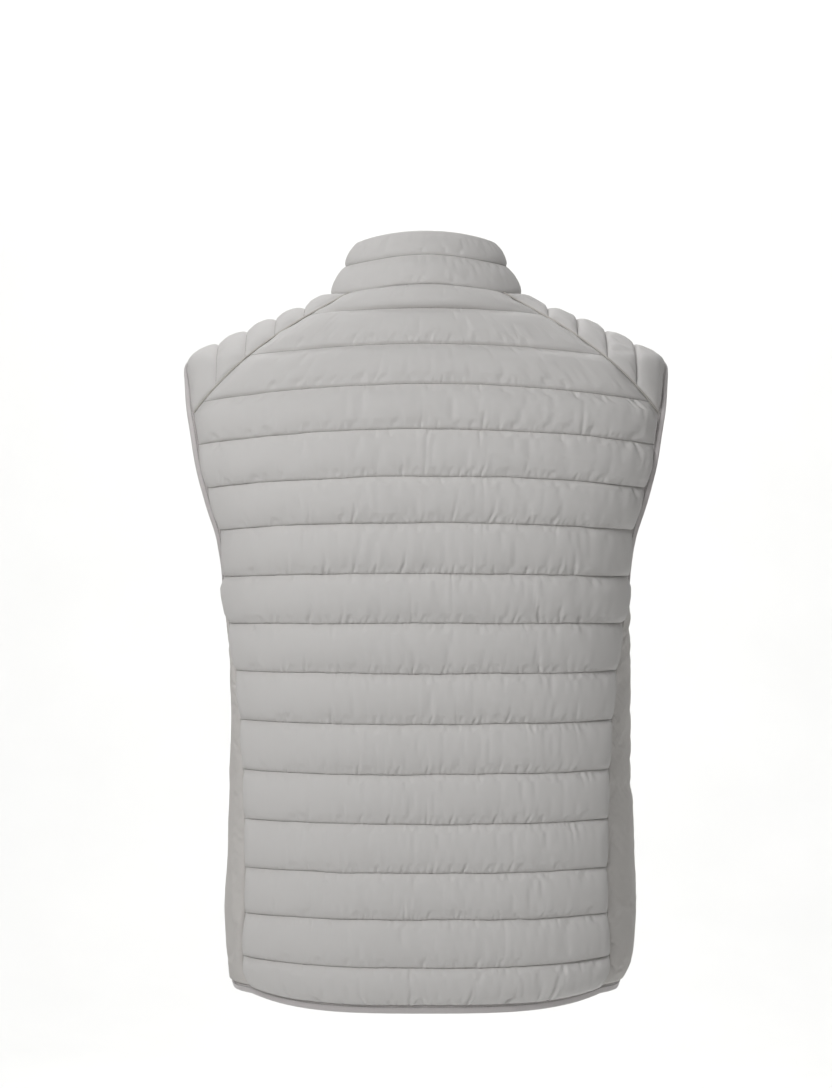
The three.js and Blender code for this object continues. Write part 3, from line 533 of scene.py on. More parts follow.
def armhole_x(z, face):
    return side_x(ARMHOLE_Y + face * armhole_y(z), z)


def armhole_point(angle):
    """A point of the armhole; the angle runs from the shoulder by the back to the underarm."""

    def rounded(value):
        return np.sign(value) * np.abs(value) ** (2 / ARMHOLE_POWER)

    return on_side(
        ARMHOLE_Y + ARMHOLE_HALF_DEPTH * rounded(np.sin(angle)),
        ARMHOLE_Z + ARMHOLE_HALF_HEIGHT * rounded(np.cos(angle)),
    )


def side_seam_x(z, face):
    return side_x(ARMHOLE_Y + face * side_seam_depth(z), z)


def shoulder_seam_z(x, face):
    start_x, start_z, slope, curl = BACK_SHOULDER_SEAM if face > 0 else FRONT_SHOULDER_SEAM
    along = x - start_x
    return start_z - slope * along - curl * np.maximum(along, 0) ** 3


def shoulder_seam_x(z, face):
    x = np.linspace(20, 236, 4000)
    return np.interp(-np.asarray(z), -shoulder_seam_z(x, face), x)


def neck_point(angle):
    """The neck seam; the angle runs from the centre back by the left side to the centre front."""
    x = NECK_HALF_WIDTH * np.sin(angle)
    y = NECK_Y + np.where(np.cos(angle) > 0, NECK_BACK, NECK_FRONT) * np.cos(angle)
    return np.stack([x, y, top_z(x, y)], axis=-1)


def shoulder_end(face):
    return float(turning(lambda z: z > shoulder_seam_z(armhole_x(z, face), face), UNDERARM_SEAM_Z, -70))


SHOULDER_END_Z = {BACK: shoulder_end(BACK), FRONT: shoulder_end(FRONT)}
BACK_NECK_CORNER = float(
    turning(lambda a: neck_point(a)[..., 2] > shoulder_seam_z(neck_point(a)[..., 0], BACK), 0.4, 1.4)
)
FRONT_NECK_CORNER = float(
    turning(lambda a: neck_point(a)[..., 2] < shoulder_seam_z(neck_point(a)[..., 0], FRONT), 1.7, 2.6)
)
ZIP_NECK_ANGLE = math.pi - math.asin(ZIP_EDGE_X / NECK_HALF_WIDTH)
ZIP_NECK_POINT = neck_point(np.array(ZIP_NECK_ANGLE))


def panel_edge_x(z, face):
    """The outer edge of a back or front panel: side seam, then armhole, then shoulder seam."""
    above = np.where(z < SHOULDER_END_Z[face], armhole_x(z, face), shoulder_seam_x(z, face))
    return np.where(z < UNDERARM_SEAM_Z, side_seam_x(z, face), above)


def row_end_x(level, face):
    return turning(lambda x: x > panel_edge_x(stitch_z(level, x), face), 20, 236)


def level_through(point):
    return float(turning(lambda level: stitch_z(level, point[0]) > point[2], HEM_SEAM_Z, 30))


# Grids: rows of points on the stitches' surface


class Grid:
    """A panel as rows of points, with its rows of stitches and each row's place in its channel."""

    def __init__(self, points, place, channel, share, height):
        self.points = np.array(points)
        self.place = np.array(place, float)
        self.channel = np.array(channel)
        self.share = np.array(share, float)
        self.height = np.array(height, float)
        self.normals = outward(self.points)

    @property
    def seams(self):
        return [r for r in range(len(self.share)) if self.share[r] < 1e-6 or self.share[r] > 1 - 1e-6]


def trimmed(points):
    """Moves a grid's outermost points in from the seam line."""
    rows = points.copy()
    rows[:, 0] += unit(points[:, 1] - points[:, 0]) * EDGE_TRIM
    rows[:, -1] += unit(points[:, -2] - points[:, -1]) * EDGE_TRIM
    rows[0] += unit(points[1] - points[0]) * EDGE_TRIM
    rows[-1] += unit(points[-2] - points[-1]) * EDGE_TRIM
    return rows


def even_spots(cell):
    """Gives the even places of a channel's rows, from its height."""

    def spots(height):
        count = max(4, round(height / cell))
        return [height * k / count for k in range(count)]

    return spots


def close_spots(height):
    """Places of a channel's rows, close together beside its two rows of stitches."""
    near = [spot for spot in CLOSE_ROWS if spot < 0.45 * height]
    middle = height - 2 * near[-1]
    count = math.ceil(middle / ROW_GAP)
    between = [near[-1] + middle * k / count for k in range(1, count)]
    return near + between + [height - spot for spot in near[:0:-1]]


def channel_rows(spots, top, corners, extra=()):
    """Levels of a body panel's rows up to a top level, with rows through its corners."""
    levels = []
    for start, height in zip(STITCH_LEVELS, CHANNEL_HEIGHTS):
        levels += [start + spot for spot in spots(height)]
    levels = [level for level in levels if level < top - 0.8]
    stitched = set(STITCH_LEVELS)
    for wanted in list(corners) + list(extra):
        free = [i for i, level in enumerate(levels) if level not in stitched and level not in corners]
        nearest = min(free, key=lambda i: abs(levels[i] - wanted))
        if wanted in extra:
            levels.append(wanted)
        else:
            levels[nearest] = wanted
    levels = np.array(sorted(levels + [top]))
    channel = np.clip(np.searchsorted(STITCH_LEVELS, levels + 1e-6) - 1, 0, len(CHANNEL_HEIGHTS) - 1)
    share = (levels - STITCH_LEVELS[channel]) / np.array(CHANNEL_HEIGHTS)[channel]
    return levels, channel, share


def back_rows(levels, share):
    """Points of the back's rows; in the top channel they turn gradually into the neck seam."""
    levels = np.asarray(levels, float)[:, None]
    share = np.asarray(share, float)[None]
    top_stitch = STITCH_LEVELS[-2]
    low = np.minimum(levels, top_stitch)
    low_end = row_end_x(low, BACK)
    t = np.clip((levels - top_stitch) / (NECK_SEAM_LEVEL - top_stitch), 0, 1)
    corner_x = float(neck_point(np.array(BACK_NECK_CORNER))[0])

    def row_z(s):
        neck = neck_point(np.arcsin(corner_x * np.abs(s) / NECK_HALF_WIDTH))
        return mix(stitch_z(low, low_end * s), neck[..., 2], t)

    end = mix(low_end, corner_x, t)
    lift = np.where(t > 0, shoulder_seam_z(end, BACK) - row_z(np.ones((1, 1))), 0)
    return on_face(end * share, row_z(share) + share**4 * lift, BACK)


def back_corner_levels():
    return [
        level_through(on_face(side_seam_x(UNDERARM_SEAM_Z, BACK), UNDERARM_SEAM_Z, BACK)),
        level_through(on_face(armhole_x(SHOULDER_END_Z[BACK], BACK), SHOULDER_END_Z[BACK], BACK)),
    ]


def front_corner_levels():
    return [
        level_through(on_face(side_seam_x(UNDERARM_SEAM_Z, FRONT), UNDERARM_SEAM_Z, FRONT)),
        level_through(on_face(armhole_x(SHOULDER_END_Z[FRONT], FRONT), SHOULDER_END_Z[FRONT], FRONT)),
        level_through(ZIP_NECK_POINT),
    ]


def waviness(channel, share, columns, seed):
    """Small unevenness of the rows of stitches, in millimetres of height, none at the row's ends."""
    random = np.random.default_rng(seed)
    x = np.linspace(0, 1, columns)
    count = len(CHANNEL_HEIGHTS) + 1
    x_mm = x * 400
    waves = np.zeros((count, columns))
    for wave in waves:
        wave += smooth_noise(x_mm, 55, random) + 0.5 * smooth_noise(x_mm, 21, random)
        wave += 0.35 * smooth_noise(x_mm, 7, random)
    waves[0] = 0
    waves[-2:] = 0
    fade = np.minimum(1, np.minimum(x, 1 - x) * 8)
    low = waves[channel]
    high = waves[np.minimum(channel + 1, count - 1)]
    return STITCH_WAVE * fade * mix(low, high, share[:, None])


def back_grid(spots, cell, seed):
    levels, channel, share = channel_rows(spots, NECK_SEAM_LEVEL, back_corner_levels())
    columns = 2 * round(200 / cell) + 1
    across = np.linspace(1, -1, columns)
    points = back_rows(levels, across)
    shifted = points[..., 2] + waviness(channel, share, columns, seed)
    points = on_face(points[..., 0], shifted, BACK)
    return Grid(trimmed(points), levels, channel, share, np.array(CHANNEL_HEIGHTS)[channel])


def front_inner_x(levels, zip_level):
    """The front's inner edge: the zip, and above its top the neck seam."""
    angle = turning(
        lambda a: neck_point(a)[..., 2] < stitch_z(levels, neck_point(a)[..., 0]),
        np.full(len(levels), FRONT_NECK_CORNER - 0.1),
        np.full(len(levels), ZIP_NECK_ANGLE + 0.02),
    )
    at_neck = np.maximum(neck_point(angle)[:, 0], ZIP_EDGE_X)
    return np.where(levels <= zip_level + 1e-6, ZIP_EDGE_X, at_neck)


def front_ends(levels):
    x = row_end_x(np.asarray(levels, float), FRONT)
    return on_face(x, stitch_z(levels, x), FRONT)


def front_grid(spots, cell, seed):
    """The left front panel; its inner edge follows the zip, then the neck seam."""
    corners = front_corner_levels()
    near_neck = [corners[2] + above for above in (0.5, 1.2, 2.2, 3.4, 4.8, 6.4)]
    top = level_through(neck_point(np.array(FRONT_NECK_CORNER))) - 3
    levels, channel, share = channel_rows(spots, top, corners, near_neck)
    kept = [True] * len(levels)
    for i in range(1, len(levels) - 1):
        crowded = min(levels[i] - levels[i - 1], levels[i + 1] - levels[i]) < 0.45
        kept[i] = not crowded or share[i] < 1e-6 or levels[i] in corners
    levels, channel, share = levels[kept], channel[kept], share[kept]
    columns = round(178 / cell) + 1
    x = np.linspace(front_inner_x(levels, corners[2]), row_end_x(levels, FRONT), columns, axis=1)
    points = on_face(x, stitch_z(levels[:, None], x), FRONT)
    shifted = points[..., 2] + waviness(channel, share, columns, seed)
    points = on_face(points[..., 0], shifted, FRONT)
    return Grid(trimmed(points), levels, channel, share, np.array(CHANNEL_HEIGHTS)[channel])


def side_rows(cell):
    """The ends of the side panel's rows, on the back seam and the front seam."""
    corner_back = back_corner_levels()[0]
    corner_front = front_corner_levels()[0]
    levels, _, _ = channel_rows(even_spots(cell), NECK_SEAM_LEVEL, [corner_back])
    levels = levels[levels < corner_back - 0.5 * cell]
    starts = back_rows(np.append(levels, corner_back), [1.0])[:, 0]
    ends = front_ends(np.append(levels, corner_front))
    return starts, ends, np.append(levels, corner_back)


def side_grid(cell):
    """The left side panel, whose top rows turn into the armhole's curve."""
    starts, ends, levels = side_rows(cell)
    columns = round(130 / cell) + 1
    share = np.linspace(0, 1, columns)
    half = math.pi - float(turning(lambda a: armhole_point(a)[..., 2] < UNDERARM_SEAM_Z, 1, math.pi))
    underarm = armhole_point(math.pi + mix(-half, half, share))
    rows = []
    for start, end in zip(starts, ends):
        dip = smooth_step(1 - (UNDERARM_SEAM_Z - start[2]) / UNDERARM_BLEND)
        y = mix(mix(start[1], end[1], share), underarm[:, 1], dip)
        z = mix(start[2], end[2], share) + dip * (underarm[:, 2] - UNDERARM_SEAM_Z)
        rows.append(on_side(y, z))
    points = trimmed(np.array(rows))
    count = len(points)
    share = np.full(count, 0.5)
    share[0] = 0
    share[-1] = 1
    return Grid(points, levels, np.zeros(count, int), share, np.full(count, 390))


def arch_angle(point):
    return np.arctan2(point[..., 1] - MIDDLE_Y, point[..., 2] - ARCH_Z)


def seam_angle(x, face):
    return arch_angle(on_face(x, shoulder_seam_z(x, face), face))


def on_arch(x, angle):
    sine, cosine = np.sin(angle), np.cos(angle)
    reach = turning(lambda r: outside_form(x, MIDDLE_Y + r * sine, ARCH_Z + r * cosine) > 0, 2, 260)
    return np.stack([x, MIDDLE_Y + reach * sine, ARCH_Z + reach * cosine], axis=-1)


def shoulder_lines(v):
    """The lines that part the shoulder's channels, as places across and angles over the shoulder."""

    def armhole_angle(face):
        found = float(turning(lambda a: armhole_point(a)[..., 2] < SHOULDER_END_Z[face], 0.2, 2))
        return found if face > 0 else -found

    neck = neck_point(mix(BACK_NECK_CORNER, FRONT_NECK_CORNER, v))
    arm = armhole_point(mix(armhole_angle(BACK), armhole_angle(FRONT), v))
    lines = [(neck[:, 0], arch_angle(neck))]
    for x in SHOULDER_STITCHES_X:
        lines.append((np.full_like(v, x), mix(seam_angle(x, BACK), seam_angle(x, FRONT), v)))
    return lines + [(arm[:, 0], arch_angle(arm))]


def shoulder_grid(spots, cell):
    """The left shoulder panel; its channels run from the back seam over to the front seam."""
    v = np.linspace(0, 1, round(150 / cell) + 1)
    lines = shoulder_lines(v)
    points, place, channel, share, height = [], [], [], [], []
    wide = 28
    for i in range(len(lines) - 1):
        last = [wide] if i == len(lines) - 2 else []
        for spot in spots(wide) + last:
            part = spot / wide
            x = mix(lines[i][0], lines[i + 1][0], part)
            angle = mix(lines[i][1], lines[i + 1][1], part)
            back_miss = seam_angle(x[0], BACK) - angle[0]
            front_miss = seam_angle(x[-1], FRONT) - angle[-1]
            points.append(on_arch(x, angle + mix(back_miss, front_miss, v)))
            place.append(wide * i + spot)
            channel.append(i)
            share.append(part)
            height.append(wide)
    return Grid(trimmed(np.array(points)), place, channel, share, height)


def collar_top_point(angle):
    ends = math.pi - math.asin(ZIP_EDGE_X / COLLAR_HALF_WIDTH)
    at = angle * (ends / ZIP_NECK_ANGLE)
    lean = np.cos(at)
    far = np.where(lean > 0, COLLAR_BACK_Z, COLLAR_FRONT_Z)
    z = mix(COLLAR_SIDE_Z, far, lean**2)
    y = COLLAR_Y + np.where(lean > 0, COLLAR_BACK, COLLAR_FRONT) * lean
    return np.stack([COLLAR_HALF_WIDTH * np.sin(at), y, z], axis=-1)


def collar_ends(cell):
    """Foot and top of the collar's columns, from the left of the zip round to the right of it."""
    dense = np.linspace(ZIP_NECK_ANGLE, 0, 600)
    foot = neck_point(dense)
    along = np.concatenate([[0], np.cumsum(np.linalg.norm(np.diff(foot, axis=0), axis=1))])
    count = round(along[-1] / cell)
    angle = np.interp(np.linspace(0, along[-1], count + 1), along, dense)
    foot = neck_point(angle)
    top = collar_top_point(angle)
    near_zip = (np.abs(foot[:, 0]) < ZIP_EDGE_X + 1) & (foot[:, 1] < 0)
    top[near_zip, 0] = foot[near_zip, 0]
    start = foot + unit(top - foot) * (SEAM_GAP - EDGE_TRIM)

    def both(half):
        return np.concatenate([half, half[-2::-1] * [-1, 1, 1]])

    return both(start), both(top)


def side_by_side_normals(points, middle_y):
    """Normals of a ring of columns, turned away from its middle."""
    up = points[-1] - points[0]
    along = np.gradient(points, axis=1)
    normal = unit(np.cross(along, up[None]))
    outwards = points - [0, middle_y, 0]
    outwards[..., 2] = 0
    turned = np.sign(np.sum(normal * outwards, axis=-1, keepdims=True))
    return normal * np.where(turned == 0, 1, turned)


# Padding


def round_share(share, crown):
    """Height of the padding across a channel, which bulges low and falls gently from above."""
    inside = np.clip(share, 0, 1)
    below = 1 - np.minimum(inside / crown, 1)
    above = 1 - np.minimum((1 - inside) / (1 - crown), 1)
    return np.sqrt(1 - below**2.1) * (1 - above**2.6) ** 0.8


def rim_share(distance, rim):
    return np.sqrt(np.maximum(0, 1 - (1 - np.minimum(distance / rim, 1)) ** 2))


def end_distances(points):
    """Distance of each point from the nearer end of its row."""
    steps = np.linalg.norm(np.diff(points, axis=1), axis=2)
    along = np.concatenate([np.zeros((len(points), 1)), np.cumsum(steps, axis=1)], axis=1)
    return np.minimum(along, along[:, -1:] - along)


def smooth_noise(x, period, random):
    """Even noise from -1 to 1 along a line, with one bump to a period."""
    knots = random.uniform(-1, 1, 512)
    at = np.asarray(x) / period
    i = np.clip(np.floor(at).astype(int), 0, len(knots) - 2)
    return mix(knots[i], knots[i + 1], smooth_step(at - i))


def patchy_noise(rows, columns, random):
    """Smooth noise over a grid, given its places in units of the noise's size."""
    u, v = rows, columns
    knots = random.uniform(-1, 1, (64, 64))
    i, j = np.floor(u).astype(int), np.floor(v).astype(int)
    s, t = smooth_step(u - i), smooth_step(v - j)
    low = mix(knots[i, j], knots[i, j + 1], t)
    high = mix(knots[i + 1, j], knots[i + 1, j + 1], t)
    return mix(low, high, s)


def resampled(values, old, new, axis=0):
    """The values of a grid's rows or columns at new places, along smooth curves."""
    moved = np.moveaxis(values, axis, 0)
    slope = np.gradient(moved, old, axis=0)
    i = np.clip(np.searchsorted(old, new, side="right") - 1, 0, len(old) - 2)
    shape = (-1,) + (1,) * (moved.ndim - 1)
    span = (old[i + 1] - old[i]).reshape(shape)
    t = np.clip((new - old[i]).reshape(shape) / span, 0, 1)
    u = 1 - t
    ends = moved[i] * (1 + 2 * t) * u * u + moved[i + 1] * t * t * (3 - 2 * t)
    return np.moveaxis(ends + span * (slope[i] * t * u * u - slope[i + 1] * t * t * u), 0, axis)


def carried(move, coarse, fine):
    """Carries a movement of the coarse grid's points over to the fine grid's."""
    rows = resampled(move, coarse.place, fine.place)
    columns = [np.linspace(0, 1, grid.points.shape[1]) for grid in (coarse, fine)]
    return resampled(rows, *columns, axis=1)


def settle(context, raised, held, cloth, seed, pressure_share=1.0, looseness_share=1.0):
    """Lets a sheet that is held along its stitches fill out and wrinkle under the padding's pressure."""
    rows, columns = raised.shape[:2]
    random = np.random.default_rng(seed)
    start = raised + random.uniform(-0.08, 0.08, raised.shape) * (1 - held[..., None])
    quads = grid_quads(rows, columns)
    mesh = bpy.data.meshes.new("settling")
    mesh.from_pydata((start.reshape(-1, 3) / 1000).tolist(), [], quads.tolist())
    sheet = bpy.data.objects.new("settling", mesh)
    context.scene.collection.objects.link(sheet)
    group = sheet.vertex_groups.new(name="stitched")
    for index, weight in enumerate(held.ravel()):
        if weight > 0:
            group.add([index], float(weight), "REPLACE")
    modifier = sheet.modifiers.new("Settling", "CLOTH")
    settings = modifier.settings
    settings.quality = 5
    settings.mass = 0.02
    settings.air_damping = 2
    settings.tension_stiffness = 12
    settings.compression_stiffness = 12
    settings.shear_stiffness = 4
    settings.bending_stiffness = 0.5
    settings.tension_damping = 3
    settings.compression_damping = 3
    settings.shear_damping = 3
    settings.vertex_group_mass = "stitched"
    settings.use_pressure = True
    settings.uniform_pressure_force = cloth.pressure * pressure_share
    settings.shrink_min = -cloth.looseness * looseness_share
    settings.effector_weights.gravity = 0
    modifier.collision_settings.use_collision = False
    modifier.collision_settings.use_self_collision = False
    modifier.point_cache.frame_start = 1
    modifier.point_cache.frame_end = cloth.steps
    for step in range(1, cloth.steps + 1):
        context.scene.frame_set(step)
    evaluated = sheet.evaluated_get(context.evaluated_depsgraph_get())
    settled = np.empty(rows * columns * 3)
    evaluated.data.vertices.foreach_get("co", settled)
    settled = settled.reshape(rows, columns, 3) * 1000
    bpy.data.objects.remove(sheet)
    bpy.data.meshes.remove(mesh)
    context.scene.frame_set(1)
    move = settled - raised
    length = np.linalg.norm(move, axis=-1, keepdims=True)
    most = mm(cloth.most_move)
    return raised + move * np.minimum(1, most / np.maximum(length, 1e-6))


def run_crease(relief, across, distance, foot, lean, long, depth):
    """Presses one crease into a channel: a sharp trough from the stitches, with a low ridge beside it."""
    span = abs(lean) + 6 * (CREASE_WIDTH + CREASE_WIDENS * long)
    middle = across[len(across) // 2]
    columns = np.flatnonzero(np.abs(middle - foot) < span)
    if len(columns) == 0:
        return
    part = slice(columns[0], columns[-1] + 1)
    distance = np.broadcast_to(distance, across.shape)[:, part]
    run = np.clip(distance / long, 0, 1)
    wide = CREASE_WIDTH + CREASE_WIDENS * distance
    side = (across[:, part] - foot - lean * run) / wide
    strength = CREASE_DEPTH * depth * (1 - run) ** 0.6 * (1 - np.exp(-distance / 0.7))
    trough = np.exp(-(np.abs(side) ** 1.4))
    ridge = 0.38 * np.exp(-(((side + 2.1) / 1.2) ** 2)) + 0.2 * np.exp(-(((side - 2.4) / 1.4) ** 2))
    relief[:, part] += strength * (ridge - trough)


def placed_creases(relief, grid, across, tables):
    """Presses tables of creases into a grid, those that rise and those that hang."""
    for table, hanging in zip(tables, (False, True)):
        for channel, creases in table.items():
            rows = np.flatnonzero(grid.channel == channel)
            up = (grid.share[rows] * grid.height[rows])[:, None]
            distance = grid.height[rows][:, None] - up if hanging else up
            part = relief[rows]
            for foot, lean, long, depth in creases:
                run_crease(part, across[rows], distance, foot, lean, long, depth)
            relief[rows] = part


def notches(across, channels, seed, lean, depth=1.0):
    """Small gathers at uneven places along every row of stitches, as tables of creases."""
    random = np.random.default_rng(seed)
    tables = ({}, {})
    start, end = float(np.min(across)), float(np.max(across))
    for table, strength, most in zip(tables, (1.0, 0.7), (6.5, 5.0)):
        for channel in channels:
            patch = random.uniform(0, 1, 32)
            place = start
            creases = []
            while place < end:
                place += float(random.uniform(2.4, 6.5))
                long = float(random.uniform(1.6, most) * (2.2 if random.random() < 0.1 else 1))
                sharp = float(random.uniform(0.2, 0.85))
                turn = float(random.uniform(-0.2, 0.9))
                share = 0.35 + 0.65 * patch[int((place - start) / 26) % 32]
                creases.append((place, lean * turn * long, long, depth * strength * share * sharp))
            table[channel] = creases
    return tables


def scattered_creases(seed, x_range, channels, spacing):
    """Tables of creases like those that show, at uneven places."""
    random = np.random.default_rng(seed)
    rising, hanging = {}, {}
    for channel in channels:
        rising[channel], hanging[channel] = [], []
        place = x_range[0]
        while place < x_range[1]:
            place += float(random.uniform(0.4, 1.7) * spacing)
            long = float(random.choice([5, 7, 9, 11, 13, 18, 27, 38]) * random.uniform(0.8, 1.2))
            lean = -float(random.uniform(-0.1, 0.5)) * min(long, 24)
            sharp = float(random.uniform(0.5, 1.1)) * (1 if long < 20 else 0.7)
            table = hanging if random.random() < 0.2 else rising
            table[channel].append((place, lean, long, sharp))
    return rising, hanging


def swells(grid, across, seed, lean, depth):
    """Soft slanted hollows that spread from the rows of stitches and fade into each channel."""
    random = np.random.default_rng(seed)
    raised = np.zeros(across.shape)
    for channel in sorted(set(grid.channel)):
        rows = np.flatnonzero(grid.channel == channel)
        up = (grid.share[rows] * grid.height[rows])[:, None]
        down = grid.height[rows][:, None] - up
        for distance, slope, reach, strength in ((up, 0.35 * lean, 15, 1.0), (down, -0.15 * lean, 13, 0.6)):
            x = across[rows] - slope * distance + 300
            waves = smooth_noise(x, 15, random)
            waves = waves + 0.7 * smooth_noise(x, 8, random)
            waves = waves + 0.35 * smooth_noise(x, 4.5, random)
            patch = 0.6 + 0.4 * smooth_noise(x, 50, random)
            fade = np.exp(-distance / reach) * (1 - np.exp(-distance / 1.5))
            raised[rows] += strength * patch * waves * fade
    return depth * raised


def crease_height(x, z, row):
    """One soft crease: a trough with a lower ridge beside it, fading at both ends."""
    x0, z0, x1, z1, width, depth = row
    run = np.array([x1 - x0, z1 - z0])
    length = max(np.hypot(*run), 1e-6)
    run = run / length
    t = ((x - x0) * run[0] + (z - z0) * run[1]) / length
    side = (-(x - x0) * run[1] + (z - z0) * run[0]) / width
    bow = 0.7 * np.sin(np.clip(t, 0, 1) * math.pi)
    side = side + bow
    ends = np.sin(np.clip(t, 0, 1) * math.pi) ** 0.7 * (t > 0) * (t < 1)
    profile = -np.exp(-(side**2)) + 0.6 * np.exp(-((side - 1.7) ** 2)) + 0.35 * np.exp(-((side + 1.8) ** 2))
    return depth * ends * profile


# Meshes


def grid_quads(rows, columns):
    r, c = np.meshgrid(np.arange(rows - 1), np.arange(columns - 1), indexing="ij")
    a = (r * columns + c).ravel()
    return np.stack([a, a + 1, a + columns + 1, a + columns], axis=1)


def signed_volume(points, faces):
    total = 0.0
    for size in {len(face) for face in faces}:
        corners = points[np.array([face for face in faces if len(face) == size])]
        for k in range(1, size - 1):
            total += np.sum(corners[:, 0] * np.cross(corners[:, k], corners[:, k + 1]))
    return total


def new_piece(context, name, points, faces, finish, places=None, painted_shade=None, sharp_angle=None):
    """A mesh object at the origin from points in millimetres, with its faces turned out."""
    points = np.asarray(points, float)
    faces = [list(face) for face in faces]
    if signed_volume(points, faces) < 0:
        faces = [face[::-1] for face in faces]
    mesh = bpy.data.meshes.new(name)
    mesh.from_pydata((points / 1000).tolist(), [], faces)
    mesh.update()
    if places is not None:
        corner = np.empty(len(mesh.loops), int)
        mesh.loops.foreach_get("vertex_index", corner)
        layer = mesh.uv_layers.new(name="cloth")
        layer.data.foreach_set("uv", (np.asarray(places)[corner] / 100).astype(np.float32).ravel())
    # Painted shade from 0 to 1 for each point, kept as an attribute that darkens the cloth finish.
    if painted_shade is not None:
        attribute = mesh.attributes.new("painted_shade", "FLOAT", "POINT")
        attribute.data.foreach_set("value", np.asarray(painted_shade, np.float32))
    mesh.materials.append(finish)
    piece = bpy.data.objects.new(name, mesh)
    context.scene.collection.objects.link(piece)
    smooth(context, piece, sharp_angle or math.radians(65))
    return piece


def smooth(context, piece, angle):
    bpy.ops.object.select_all(action="DESELECT")
    piece.select_set(True)
    context.view_layer.objects.active = piece
    bpy.ops.object.shade_smooth_by_angle(angle=angle)
    piece.select_set(False)


def border_loop(rows, columns):
    """Indices of a grid's border, once round."""
    top = (rows - 1) * columns
    return (
        list(range(columns))
        + [r * columns + columns - 1 for r in range(1, rows)]
        + [top + c for c in range(columns - 2, -1, -1)]
        + [r * columns for r in range(rows - 2, 0, -1)]
    )


def closed_wall(outer, inner, kept_rows, kept_columns):
    """A closed wall between a fine outer grid and a plainer inner one.

    Gives its points, its faces and, for each inner point, the outer point behind it.
    """
    rows, columns = outer.shape[:2]
    kept_rows, kept_columns = sorted(set(kept_rows)), sorted(set(kept_columns))
    behind = (np.array(kept_rows)[:, None] * columns + np.array(kept_columns)[None]).ravel()
    points = np.concatenate([outer.reshape(-1, 3), inner.reshape(-1, 3)[behind]])
    inner_at = {int(index): rows * columns + i for i, index in enumerate(behind)}
    faces = grid_quads(rows, columns).tolist()
    inner_quads = grid_quads(len(kept_rows), len(kept_columns)) + rows * columns
    faces += inner_quads[:, ::-1].tolist()
    loop = border_loop(rows, columns)
    count = len(loop)
    start = 0
    while start < count:
        end = start + 1
        while loop[end % count] not in inner_at:
            end += 1
        a, b = inner_at[loop[start]], inner_at[loop[end % count]]
        middle = (start + end) // 2
        for i in range(start, end):
            faces.append([loop[(i + 1) % count], loop[i], a if i < middle else b])
        faces.append([loop[middle], a, b])
        start = end
    return points, faces, behind


def spaced(count, step):
    """Every step-th index of a row, with its last."""
    return list(range(0, count, step)) + [count - 1]


def carried_section(path, normals, off, section, closed):
    """Points and faces of a section (pairs across and out) carried along a path."""
    rings = path[:, None] + off[:, None] * section[..., 0:1] + normals[:, None] * section[..., 1:2]
    count, sides = rings.shape[:2]
    faces = []
    last = count if closed else count - 1
    for i in range(last):
        j = (i + 1) % count
        for k in range(sides):
            m = (k + 1) % sides
            faces.append([i * sides + k, j * sides + k, j * sides + m, i * sides + m])
    if not closed:
        faces.append([k for k in range(sides)][::-1])
        faces.append([(count - 1) * sides + k for k in range(sides)])
    return rings.reshape(-1, 3), faces


def evenly(points, spacing, closed=False, others=()):
    """Points at even distances along a line, and other values of the line at the same places."""
    line = np.concatenate([points, points[:1]]) if closed else points
    steps = np.linalg.norm(np.diff(line, axis=0), axis=1)
    along = np.concatenate([[0], np.cumsum(steps)])
    count = max(2, round(along[-1] / spacing))
    at = np.linspace(0, along[-1], count + 1)
    if closed:
        at = at[:-1]

    def taken(values):
        values = np.concatenate([values, values[:1]]) if closed else values
        return np.stack([np.interp(at, along, values[:, k]) for k in range(values.shape[1])], axis=1)

    return [taken(points)] + [taken(values) for values in others]


def rounded_section(wide, above, below, sides=20, power=3.4):
    """A flat strip's rounded outline, as pairs of across and out."""
    angle = np.arange(sides) / sides * 2 * math.pi
    c, s = np.cos(angle), np.sin(angle)
    across = wide / 2 * (1 + np.sign(c) * np.abs(c) ** (2 / power))
    out = (above - below) / 2 + (above + below) / 2 * np.sign(s) * np.abs(s) ** (2 / power)
    return np.stack([across, out], axis=1)


def stitched_rows(context, name, runs, size, finish):
    """Short stitches of thread along lines, each given as points and normals in millimetres."""
    sides = 5
    spin = np.arange(sides) / sides * 2 * math.pi
    half = mm(size.stitch_length) / 2
    thick = mm(size.thread_radius)
    template = []
    for along, out, share in ((-1, -0.3, 0.45), (-0.6, 0.14, 1), (0.6, 0.14, 1), (1, -0.3, 0.45)):
        for angle in spin:
            up, across = share * thick * math.sin(angle), share * thick * math.cos(angle)
            template.append((along * half, out + up, across))
    template = np.array(template)
    shape = []
    for ring in range(3):
        for k in range(sides):
            m = (k + 1) % sides
            shape.append([ring * sides + k, ring * sides + m, (ring + 1) * sides + m, (ring + 1) * sides + k])
    ends = [[k for k in range(sides)][::-1], [3 * sides + k for k in range(sides)]]
    points, faces, count = [], [], 0
    for line, normals in runs:
        closed = bool(np.linalg.norm(line[0] - line[-1]) < 0.01)
        at, out = evenly(line, mm(size.stitch_pitch), False, [normals])
        if closed:
            at, out = at[:-1], out[:-1]
        along = unit(np.gradient(at, axis=0))
        out = unit(out)
        across = unit(np.cross(along, out))
        placed = (
            at[:, None]
            + along[:, None] * template[None, :, 0:1]
            + out[:, None] * template[None, :, 1:2]
            + across[:, None] * template[None, :, 2:3]
        )
        points.append(placed.reshape(-1, 3))
        for _ in range(len(at)):
            faces += [[count + k for k in face] for face in shape + ends]
            count += len(template)
    return new_piece(context, name, np.concatenate(points), faces, finish)


# Finishes


